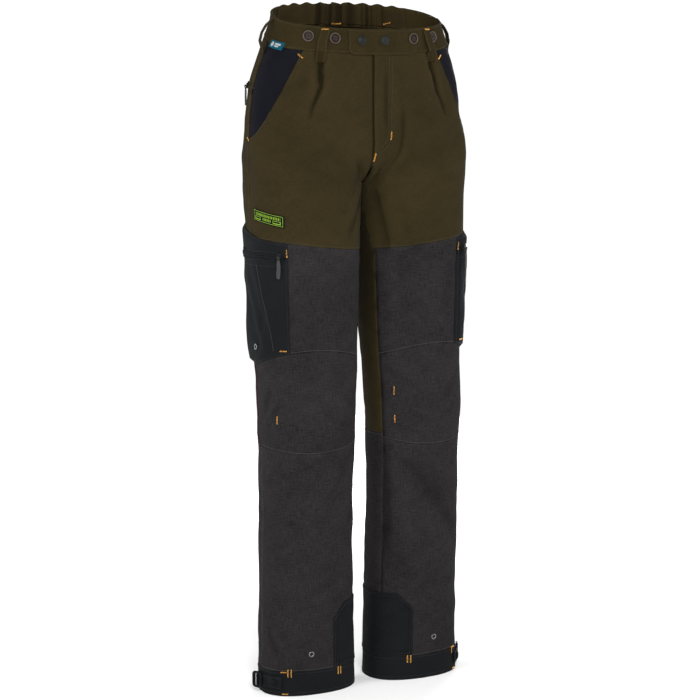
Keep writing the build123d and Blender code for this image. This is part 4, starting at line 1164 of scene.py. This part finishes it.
# ---- belt loops --------------------------------------------------------------------------------------
LOOP_WIDE = 13.5
loops = Bag()
tacks = Bag()
for side, hand in SIDES:
    for k, t0 in enumerate(LOOP_PLACES):
        t0 = t0 + (0.022 if side > 0 else -0.011) * (k == 0)
        top = float(waist_height(np.array(t0), 0.0)) - 1.5
        low = top - BAND - (19.0 if k == 1 else 14.5)
        v = np.linspace(0, 1, 30)
        u = np.linspace(-0.5, 0.5, 9)
        V, U = np.meshgrid(v, u, indexing="ij")
        bow = np.interp(V, [0, 0.07, 0.16, 0.3, 0.5, 0.75, 0.88, 0.96, 1],
                        [0.2, 0.3, 1.6, 4.6, 5.2, 3.4, 1.2, 0.3, 0.2])
        bow = bow * (2.1 if k == 1 else 0.85) + 0.5 * np.sin(V * 9 + k)
        drift = 0.004 * np.sin(V * 5 + side)
        cup = -0.5 * (2 * U) ** 6
        T = t0 + U * LOOP_WIDE / AROUND * 1.25 + drift
        Z = low + (top - low) * V
        out = EDGE_FOLD + 1.4 + np.maximum(bow, 0.15) + cup
        outer, inner = place(T, Z, out, side), place(T, Z, out - 1.3, side)
        loops.shell(outer.transpose(1, 0, 2), inner.transpose(1, 0, 2), flip=side < 0, slots=(0, 0),
                    uv=cloth_uv(T, Z, side).transpose(1, 0, 2), wear_and_shade=(np.exp(-abs(abs(U) - 0.5) * 20)).T)
        for edge in (0.36, -0.36):
            line = t0 + edge * LOOP_WIDE / AROUND * 1.25 + drift[:, 4]
            p = place(line, Z[:, 4], out[:, 4] + 0.1, side)
            threads(loops, p, direction(line, Z[:, 4], side), slot=1)
        if k != 1:
            bartack(tacks, t0 + 0.001, top - 2.2, 90, side, length=11.5, out=EDGE_FOLD + 2.3)
loops.piece("loops", [BAND_CLOTH, OLIVE_THREAD], replaces=["belt_loops"])

# ---- orange bartacks: (side, t, z, lean, length, out) ------------------------------------------------
BARTACKS = (
    (1, 0.256, 1012, 60, 12, 0.9), (-1, 0.248, 1013, 60, 12, 0.9), (1, 0.495, 886, 60, 10, 0.9),
    (-1, 0.495, 886, 60, 10, 0.9), (1, 0.0, 857, 5, 12, 1.5), (1, 0.050, 890, 4, 12, 1.0),
    (-1, 0.356, 712, 5, 12, None), (1, 0.356, 712, 5, 12, None), (-1, 0.372, 560, 90, 10, None),
    (1, 0.372, 560, 90, 10, None), (-1, 0.403, 450, 0, 12, 0.7), (1, 0.131, 484, 4, 13, 0.7),
    (1, 0.131, 438, 0, 12, 0.7), (-1, 0.361, 38, 0, 12, 1.5), (-1, 0.350, 38, 0, 12, 1.5),
    (-1, 0.190, 35, 0, 12, 2.2), (-1, 0.180, 35, 0, 12, 2.2), (1, 0.198, 36, 0, 12, 2.2),
    (1, 0.187, 36, 0, 12, 2.2), (-1, 0.377, 39.5, 90, 10, 1.4), (-1, 0.370, 4, 90, 10, 1.5),
    (1, 0.371, 36, 0, 10, 1.5), (1, 0.380, 41, 90, 10, 1.4), (1, 0.385, 4, 90, 10, 1.5),
    (1, 0.997, 1066, 100, 14, -4.9), (1, 0.80, 1067, 100, 14, -4.9),
)
for side, t, z, lean, length, out in BARTACKS:
    if out is None:
        out = float(pocket_level(t, z, side)) + 0.5
    bartack(tacks, t, z, lean, side, length, out=out)
tacks.piece("bartacks", [ORANGE])


# ---- zips --------------------------------------------------------------------------------------------
TOOTH_STEP, TOOTH_SHIFT, TOOTH_RADIUS = 1.35, 0.67, 0.42      # the two rows mesh, half a step apart
TOOTH_REACH = np.array([0.15, 0.55, 2.1, 2.7])                # along a tooth, from the middle of the zip


def on_arc(spec, angle, out, dz, side):
    """Points on a zip's arc, and the outward directions there."""
    angle, out, dz = np.broadcast_arrays(np.radians(angle), out, dz)
    n = np.stack([np.cos(angle) * side, np.sin(angle), 0 * angle], -1)
    r = spec["radius"] + out
    p = np.stack([(spec["centre"][0] + r * np.cos(angle)) * side,
                  spec["centre"][1] + r * np.sin(angle) - BOX_CENTRE_Y, spec["z"] + dz], -1)
    return p * MM, n


def curved_zip(name, node, side, spec):
    """Two tapes on an arc, with a row of teeth on each."""
    bag = Bag()
    angles = np.linspace(spec["start"] - 3, spec["end"] + 3, 60)
    for way in (-1, 1):
        dz = np.array([0.6, 1.6, 3.0, 4.8, 6.9]) * way
        A, D = np.meshgrid(angles, dz if way > 0 else dz[::-1], indexing="ij")
        out = np.where(abs(D) < 2, 0.35, 0.5)
        uv = np.stack([np.radians(A) * spec["radius"] * MM, D * MM], -1)
        bag.shell(on_arc(spec, A, out, D, side)[0], on_arc(spec, A, out - 0.9, D, side)[0], flip=side < 0,
                  uv=uv, slots=(0, 0))
        teeth = np.arange(spec["start"] - 2.5, spec["end"] + 2.5, math.degrees(TOOTH_STEP / spec["radius"]))
        teeth = teeth + (0.0 if way > 0 else math.degrees(TOOTH_SHIFT / spec["radius"]))
        reach = TOOTH_REACH * way
        p, n = on_arc(spec, teeth[:, None], np.array([0.9, 1.0, 0.95, 0.6]), reach[None, :], side)
        beads(bag, p, n, TOOTH_RADIUS, slot=1, sides=6)
    bag.piece(name, [TAPE, TEETH], replaces=[node])


# A grip from its top down in mm: distance, width and thickness. Four ridges cross its middle.
GRIP_OUTLINE = (
    (0, 2.2, 1.4), (0.5, 3.4, 2.2), (1.4, 4.2, 2.6), (3.0, 4.8, 2.7), (5.0, 5.3, 2.6), (7.5, 5.9, 2.6),
    (8.2, 6.3, 3.0), (9.0, 5.8, 2.3), (9.8, 6.3, 3.0), (10.6, 5.8, 2.3), (11.4, 6.3, 3.0), (12.2, 5.8, 2.3),
    (13.0, 6.3, 3.0), (13.8, 6.1, 2.6), (16, 6.3, 2.6), (20, 6.3, 2.6), (24, 6.0, 2.6), (26, 5.4, 2.4),
    (27, 4.2, 2.0), (27.6, 2.4, 1.2))


def pull(name, node, body, side, spec, length, edge):
    """A cord through the slider's eye with a moulded grip, orange along one edge if edge is set."""
    bag = Bag()
    a = math.radians(spec["start"])
    origin = np.array([(spec["centre"][0] + spec["radius"] * math.cos(a)) * side,
                       spec["centre"][1] + spec["radius"] * math.sin(a) - BOX_CENTRE_Y, spec["z"]]) * MM
    n = np.array([math.cos(a) * side, math.sin(a), 0.0])
    ax = np.cross([0, 0, 1.0], n)
    up = np.array([0, 0, 1.0])

    def at(x, y, out):
        return origin + (ax * x + up * y + n * out) * MM

    for x in (-1.15, 1.15):
        loop = [at(x, -6.5, PIN_OUT + 0.2), at(x, -3.0, PIN_OUT + 0.9), at(x, -0.4, PIN_OUT + 1.45),
                at(x, 0.95, PIN_OUT + 0.6), at(x, 0.9, PIN_OUT - 0.7), at(x, -0.5, PIN_OUT - 1.3),
                at(x, -3.0, PIN_OUT - 0.8), at(x, -6.5, PIN_OUT - 0.2)]
        bag.add(*sweep(loop, [ax] * len(loop), circle(0.62, 8)), slot=1)
    down, wide, thick = np.array(GRIP_OUTLINE).T
    y = -5.4 - down * (length + 1.5) / down[-1]
    section = rounded_square(20, 0.5)[None] * np.stack([wide, thick], -1)[:, None] / 2
    path = np.array([at(0.25 * math.sin(k / 4), k, PIN_OUT) for k in y])
    points, faces = sweep(path, [n] * len(path), section)
    middle = np.array([points[list(f)].mean(0) for f in faces])
    beside = (middle - origin) @ ax / MM
    slots = [2 if edge and b * side > 2.9 else 0 for b in beside]
    bag.add(points, faces, slots)
    bag.piece(name, [GRIP, BLACK_THREAD, GRIP_EDGE], body=body, replaces=[node])


for side, hand in SIDES:
    curved_zip(f"cargo_zipper_{hand}", f"cargo_zip_{hand}", side, CARGO_ZIP)
    curved_zip(f"back_zipper_{hand}", f"back_pocket_zip_{hand}", side, BACK_ZIP)
    pull(f"cargo_grip_{hand}", f"cargo_pull_{hand}", f"cargo_pull_{hand}", side, CARGO_ZIP, 28.0, True)
    back_pull = f"back_pocket_pull_{hand}"
    pull(f"back_grip_{hand}", back_pull, back_pull, side, BACK_ZIP, 24.0, False)


# ---- cargo pockets -----------------------------------------------------------------------------------
for side, hand in SIDES:
    T, Z = with_rows(lattice(fixed(CARGO_T[0]), fixed(CARGO_T[1]), pocket_bottom, pocket_top, step=3.0),
                     [CARGO_ZIP["z"] - ZIP_GAP, CARGO_ZIP["z"] + ZIP_GAP])
    level = pocket_level(T, Z, side)
    angle, span = zip_place(T, Z)
    flat = place(T, Z, 0.0, side)
    d = edge_distance(flat)[0]
    in_run = (angle > CARGO_ZIP["start"] - 3) & (angle < CARGO_ZIP["end"] + 3)
    hole = whole_cells((abs(Z - CARGO_ZIP["z"]) < ZIP_GAP + 0.2) & in_run)
    bag = Bag()
    bag.shell(place(T, Z, level, side), place(T, Z, np.maximum(level - 1.3, 0.15), side), flip=side < 0,
              uv=cloth_uv(T, Z, side), wear_and_shade=np.exp(-d / 2.5), hole=hole)

    def along(t, z, rise=0.25, slot=2):
        threads(bag, place(t, z, pocket_level(t, z, side) + rise, side), direction(t, z, side), slot=slot)

    for row in (3, -4):
        along(T[:, row], Z[:, row])
    for col in (3, -4):
        along(T[col], Z[col])
    for dz in (-ZIP_GAP - 3, ZIP_GAP + 3):
        keep = span[:, 0] > 0.5
        along(T[keep, 0], np.full(int(keep.sum()), CARGO_ZIP["z"] + dz))
    dart = np.interp(np.linspace(0, 1, 40), [0, 0.45, 0.8, 1], [0.456, 0.43, 0.408, 0.402])
    along(dart, np.linspace(696, 560, 40), 0.3, 3)
    along(np.linspace(CARGO_T[0] + 0.01, CARGO_T[1] - 0.01, 60), np.full(60, CARGO_ZIP["z"] - 16.0), 0.2)
    obj = bag.piece(f"cargo_bag_{hand}", [RIPSTOP, LINING, BLACK_THREAD, GREY_THREAD],
                    replaces=[f"cargo_pocket_{hand}"])


# ---- hem straps --------------------------------------------------------------------------------------
HEM_ARC = dict(centre=STRAP_CENTRE, radius=STRAP_RADIUS, z=STRAP_Z)
BUCKLE_ANGLE = -3.0


def arc_frame(spec, angle, out, side):
    p, n = on_arc(spec, np.array(float(angle)), out, 0.0, side)
    ax = np.cross([0, 0, 1.0], n)
    return p, ax, np.array([0, 0, 1.0]), n


def strap_bulge(angle):
    """How far the strap stands off its arc where it runs through the buckle."""
    return 3.4 * np.exp(-(((angle - BUCKLE_ANGLE) / 8) ** 2))


def rounded_rectangle(wide, tall, radius, count=8):
    points = []
    for k, (i, j) in enumerate(((1, 1), (-1, 1), (-1, -1), (1, -1))):
        a = np.linspace(0, np.pi / 2, count) + k * np.pi / 2
        points.append(np.stack([i * (wide / 2 - radius) + radius * np.cos(a),
                                j * (tall / 2 - radius) + radius * np.sin(a)], -1))
    return np.concatenate(points)


for side, hand in SIDES:
    bag = Bag()
    angles = np.linspace(STRAP_START, STRAP_END, 50)
    height = np.array([-10, -9.6, -8.6, -5, 0, 5, 8.6, 9.6, 10])
    A, H = np.meshgrid(angles, height, indexing="ij")
    taper = 1 - 0.16 * ease((A - 12) / 4)
    bow = -0.35 * (abs(H) > 9) + 0.12 * np.sin(A / 3)
    through = strap_bulge(A)
    p = on_arc(HEM_ARC, A, 0.8 + bow + through, H * taper, side)[0]
    q = on_arc(HEM_ARC, A, -0.8 - 0.4 * bow + through, H * taper, side)[0]
    uv = np.stack([np.radians(A) * STRAP_RADIUS * MM, H * MM], -1)
    bag.shell(p, q, flip=side < 0, uv=uv, slots=(0, 0), wear_and_shade=np.exp(-(10 - abs(H)) / 1.2))
    for h in (-7.6, 7.6):
        angles = np.linspace(-50, 15, 60)
        p, n = on_arc(HEM_ARC, angles, 0.95 + strap_bulge(angles), h, side)
        threads(bag, p, n, slot=1)
    strap = bag.piece(f"strap_{hand}", [BLACK, BLACK_THREAD], body=f"hem_strap_{hand}",
                      replaces=[f"hem_strap_{hand}"])
    cap = Bag()
    snap_cap(cap, arc_frame(HEM_ARC, STRAP_SNAP, 0.9, side))
    cap.piece(f"hem_snap_{hand}", [HEM_SNAP], body=f"hem_strap_{hand}",
              replaces=[f"hem_snap_cap_{hand}"])
    buckle = Bag()
    origin, ax, up, n = arc_frame(HEM_ARC, BUCKLE_ANGLE, 6.4, side)
    lean = math.radians(24) * side
    ax, n = ax * math.cos(lean) + n * math.sin(lean), n * math.cos(lean) - ax * math.sin(lean)
    ring = rounded_rectangle(16.6, 23.4, 4.0)
    path = origin + (ring[:, :1] * ax + ring[:, 1:] * up) * MM
    lump = rounded_square(12, 0.7)
    buckle.add(*sweep(path, [n] * len(path), lump * [1.75, 1.75], closed=True))
    for x, fat in ((0.0, 2.0), (-5.0, 1.1), (5.0, 1.1)):
        heights = np.linspace(-11.5, 11.5, 9)
        bar = [origin + (ax * x + up * h + n * 0.25 * math.cos(h / 7)) * MM for h in heights]
        buckle.add(*sweep(bar, [n] * 9, lump * [fat, 1.3]))
    for h in (-7, -3.5, 0, 3.5, 7):
        rib = [origin + (ax * x + up * h + n * 1.5) * MM for x in (-1.7, -0.6, 0.6, 1.7)]
        buckle.add(*sweep(rib, [n] * 4, circle(0.45, 8)))
    buckle.piece(f"buckle_{hand}", [BUCKLE], body=f"hem_strap_{hand}",
                 replaces=[f"hem_buckle_{hand}"])


# ---- labels, piping ----------------------------------------------------------------------------------
def label(name, node, t_range, base, tall, cells, pattern, materials, lean=0.0):
    """A woven label on the right side. pattern gives each cell's material from its place, 0 to 1."""
    u, v = np.linspace(0, 1, cells[0] + 1), np.linspace(0, 1, cells[1] + 1)
    U, V = np.meshgrid(u, v, indexing="ij")
    T = t_range[0] + (t_range[1] - t_range[0]) * U + lean * V
    Z = base(T) + tall * V
    mu, mv = (U[1:, 1:] + U[:-1, :-1]) / 2, (V[1:, 1:] + V[:-1, :-1]) / 2
    kind = pattern(1 - mu, mv)
    rise = np.zeros(U.shape)
    for i in (0, 1):
        for j in (0, 1):
            corner = rise[i:cells[0] + i, j:cells[1] + j]
            corner[:] = np.maximum(corner, 0.22 * (kind > 0))
    bag = Bag()
    bag.shell(place(T, Z, 1.6 + rise, -1), place(T, Z, 0.5, -1), flip=True, uv=cloth_uv(T, Z, -1))
    count = cells[0] * cells[1]
    bag.slots[:count] = [int(k) for k in kind.reshape(-1)]
    obj = bag.piece(name, materials, replaces=[node])
    calm = place(T, Z, 1.1, -1)
    wide, tall = edge_distance(calm)[1:]


def badge_pattern(u, v):
    """Generic workwear badge: a lime frame, a row of bars, a shorter row and two dark boxes. No letters."""
    outer = (u > 0.03) & (u < 0.97) & (v > 0.08) & (v < 0.92)
    inner = (u > 0.05) & (u < 0.95) & (v > 0.13) & (v < 0.87)
    bars = (v > 0.54) & (v < 0.78) & (u > 0.10) & (u < 0.90) & ((u * 22) % 1.0 > 0.55)
    short = (v > 0.24) & (v < 0.46) & (u > 0.36) & (u < 0.64) & ((u * 22) % 1.0 > 0.55)
    boxes = (v > 0.20) & (v < 0.48) & (((u > 0.09) & (u < 0.31)) | ((u > 0.69) & (u < 0.91)))
    edge = boxes & ~((v > 0.25) & (v < 0.43) & (((u > 0.11) & (u < 0.29)) | ((u > 0.71) & (u < 0.89))))
    return ((outer & ~inner) | bars | short | edge).astype(int)


def side_pattern(u, v):
    """Generic woven mark: a leaf shape and two bars."""
    leaf = abs(v - 0.5) < 0.32 * np.sin(np.clip((u - 0.12) / 0.26, 0, 1) * np.pi)
    bars = (u > 0.46) & (u < 0.82) & ((abs(v - 0.62) < 0.11) | ((abs(v - 0.34) < 0.09) & (u < 0.72)))
    return (leaf | bars).astype(int)


label("badge", "leg_badge", (0.360, 0.472), lambda t: 751.0 + (t - 0.36) * 104, 18.0, (88, 26), badge_pattern,
      [BADGE, LIME])
label("side_tag", "side_label", (0.338, 0.438), lambda t: waist_low(t) - 5.5, 12.0, (40, 16), side_pattern,
      [LABEL, LABEL_WHITE], lean=-0.012)

trim = Bag()
for side, hand in SIDES:
    z = np.linspace(BACK_KNEE - 10, 556, 44)
    t = side_seam(z) + 0.001
    trim.add(*sweep(place(t, z, 0.5, side), direction(t, z, side), circle(1.5, 8)))
trim.piece("side_piping", [PIPING])
fly_lines = Bag()
for inset in (0.0, 6.0):
    turn = np.linspace(0, 1.45, 18)[1:]
    x = np.concatenate([np.full(20, 29.0), 3 + 26 * np.cos(turn)]) - inset * 0.8
    z = np.concatenate([np.linspace(1011, 898, 20), 898 - 34 * np.sin(turn)]) + inset * 0.6
    stitch(fly_lines, t_at(np.maximum(x, 0.5), z), z, 1, out=0.7)
fly_lines.piece("fly_stitching", [OLIVE_THREAD])

# ---- inside: guard pads, pocket bags and the fly -----------------------------------------------------
for side, hand in SIDES:
    T, Z = lattice(fixed(0.13), fixed(0.42), fixed(70.0), fixed(790.0), step=8.0)
    d = edge_distance(place(T, Z, 0, side))[0]
    body = 2.6 * ease(d / 7) * (1 - 0.35 * np.exp(-((Z % 60 - 30) / 4) ** 2))
    bag = Bag()
    bag.shell(place(T, Z, -5.8 + body, side), place(T, Z, -6.4 - body, side), flip=side < 0,
              uv=cloth_uv(T, Z, side), slots=(0, 0))
    pad = bag.piece(f"guard_pad_{hand}", [GUARD], replaces=[f"saw_guard_{hand}"])
    T, Z = lattice(fixed(0.22), fixed(0.47), fixed(850.0), fixed(1010.0), step=6.0)
    bag = Bag()
    bag.shell(place(T, Z, -2.6 - 0.4 * np.sin(Z / 17), side), place(T, Z, -4.4 + 0.5 * np.sin(T * 60), side),
              flip=side < 0, uv=cloth_uv(T, Z, side), slots=(0, 0))
    obj = bag.piece(f"pocket_bag_{hand}", [POCKETING],
                    replaces=[f"hand_pocket_bag_{hand}"])
    wide, tall = edge_distance(place(T, Z, -3.5, side))[1:]
    grid_area(place(T, Z, -3.5, side))

low, high = (np.array(c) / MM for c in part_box("fly_shield"))
u, v = np.meshgrid(np.linspace(0, 1, 14), np.linspace(0, 1, 40), indexing="ij")
front_x = low[0] + (high[0] - low[0]) * (0.02 + u * (0.86 + 0.12 * v))
back_y = high[1] - 1.4 + 0.5 * np.sin(v * 9 + u * 3)
up_z = low[2] + (high[2] - low[2]) * v
outer = np.stack([front_x, back_y, up_z], -1) * MM
bag = Bag()
bag.shell(outer, outer + np.array([0, 1.2 * MM, 0]), uv=np.stack([front_x, up_z], -1) * MM)
shield = bag.piece("fly_backing", [OLIVE, LINING], replaces=["fly_shield"])
wide, tall = edge_distance(outer)[1:]

low, high = (np.array(c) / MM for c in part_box("fly_zip"))
bag = Bag()
for way in (-1, 1):
    x = FLY_ZIP_X + way * np.array([0.9, 2.0, 5.0, 9.0, 12.6])
    u, v = np.meshgrid(x if way > 0 else x[::-1], np.linspace(low[2], high[2], 50), indexing="ij")
    face = np.stack([u, np.full(u.shape, high[1] - 1.6), v], -1) * MM
    bag.shell(face, face + np.array([0, 1.0 * MM, 0]), uv=np.stack([u, v], -1) * MM, slots=(0, 0))
    rows = np.arange(low[2] + 1, high[2] - 1, TOOTH_STEP) + (0.0 if way > 0 else TOOTH_SHIFT)
    reach = FLY_ZIP_X + way * TOOTH_REACH
    p = np.stack(np.broadcast_arrays(reach[None, :], high[1] - 1.4, rows[:, None]), -1) * MM
    beads(bag, p, np.broadcast_to([0, -1.0, 0], p.shape), TOOTH_RADIUS, slot=1)
bag.piece("fly_zipper", [TAPE, TEETH], replaces=["fly_zip"])

# ---- camera, light and floor -------------------------------------------------------------------------
AZIMUTH, DISTANCE, EYE, AIM = 26.1, 3100.0, 1001.8, 543.9
SENSOR, LENS = 36.0, 99.72


def look_at(obj, target):
    obj.rotation_euler = (Vector(target) - obj.location).to_track_quat("-Z", "Y").to_euler()


camera = bpy.data.objects.new("camera", bpy.data.cameras.new("camera"))
bpy.context.scene.collection.objects.link(camera)
camera.data.sensor_width = SENSOR
camera.data.lens = LENS
camera.data.shift_x = -0.009
a = math.radians(AZIMUTH)
camera.location = Vector((-math.sin(a) * DISTANCE, -math.cos(a) * DISTANCE - BOX_CENTRE_Y, EYE)) * MM
look_at(camera, (0, -BOX_CENTRE_Y * MM, AIM * MM))
bpy.context.scene.camera = camera


def softbox(name, location, size, power):
    light = bpy.data.lights.new(name, "AREA")
    light.shape, light.size, light.size_y, light.energy = "RECTANGLE", size[0], size[1], power
    obj = bpy.data.objects.new(name, light)
    bpy.context.scene.collection.objects.link(obj)
    obj.location = location
    look_at(obj, (0, 0, 0.6))


softbox("key", (-1.0, -3.2, 2.0), (1.2, 1.6), 120)
softbox("side_left", (-3.0, -0.9, 1.5), (1.2, 2.0), 40)
softbox("side_right", (3.0, -1.2, 1.5), (1.2, 2.0), 46)
softbox("rim_left", (-2.2, 2.4, 1.5), (1.0, 2.2), 55)
softbox("rim_right", (2.2, 2.4, 1.5), (1.0, 2.2), 55)
world = bpy.data.worlds.new("studio")
world.use_nodes = True
nodes, links = world.node_tree.nodes, world.node_tree.links
soft, paper = nodes["Background"], nodes.new("ShaderNodeBackground")
soft.inputs["Color"].default_value = paper.inputs["Color"].default_value = (1.0, 1.0, 1.0, 1.0)
soft.inputs["Strength"].default_value, paper.inputs["Strength"].default_value = 0.45, 1.04
either = nodes.new("ShaderNodeMixShader")
links.new(nodes.new("ShaderNodeLightPath").outputs["Is Camera Ray"], either.inputs[0])
links.new(soft.outputs[0], either.inputs[1])
links.new(paper.outputs[0], either.inputs[2])
links.new(either.outputs[0], nodes["World Output"].inputs["Surface"])
bpy.context.scene.world = world
bpy.context.scene.view_settings.view_transform = "Standard"

# The floor glows: painted light, faint under the trousers and brighter towards its rim, so that it looks
# white.
floor = Bag()
ring = np.linspace(0, 2 * np.pi, 64, endpoint=False)
floor.add(np.stack([2.4 * np.cos(ring), 2.4 * np.sin(ring), 0 * ring], -1), [tuple(range(64))])
floor_look = Graph("floor")
spot = floor_look.node("TexCoord").outputs["Object"]
away = floor_look.node("VectorMath", {0: spot}, operation="LENGTH").outputs["Value"]
floor_obj = floor.piece("floor", floor_look.finish(
    Base_Color=floor_look.mix(floor_look.noise(spot, 3.0), (0.80, 0.80, 0.80, 1.0), (0.84, 0.84, 0.84, 1.0)),
    Roughness=0.95, Specular_IOR_Level=0.0, Emission_Color=(1.0, 1.0, 1.0, 1.0),
    Emission_Strength=floor_look.math("MULTIPLY_ADD", floor_look.ramp(away, 0.3, 1.5), 0.9, 0.12)), body=None)
floor_obj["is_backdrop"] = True

low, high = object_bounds()
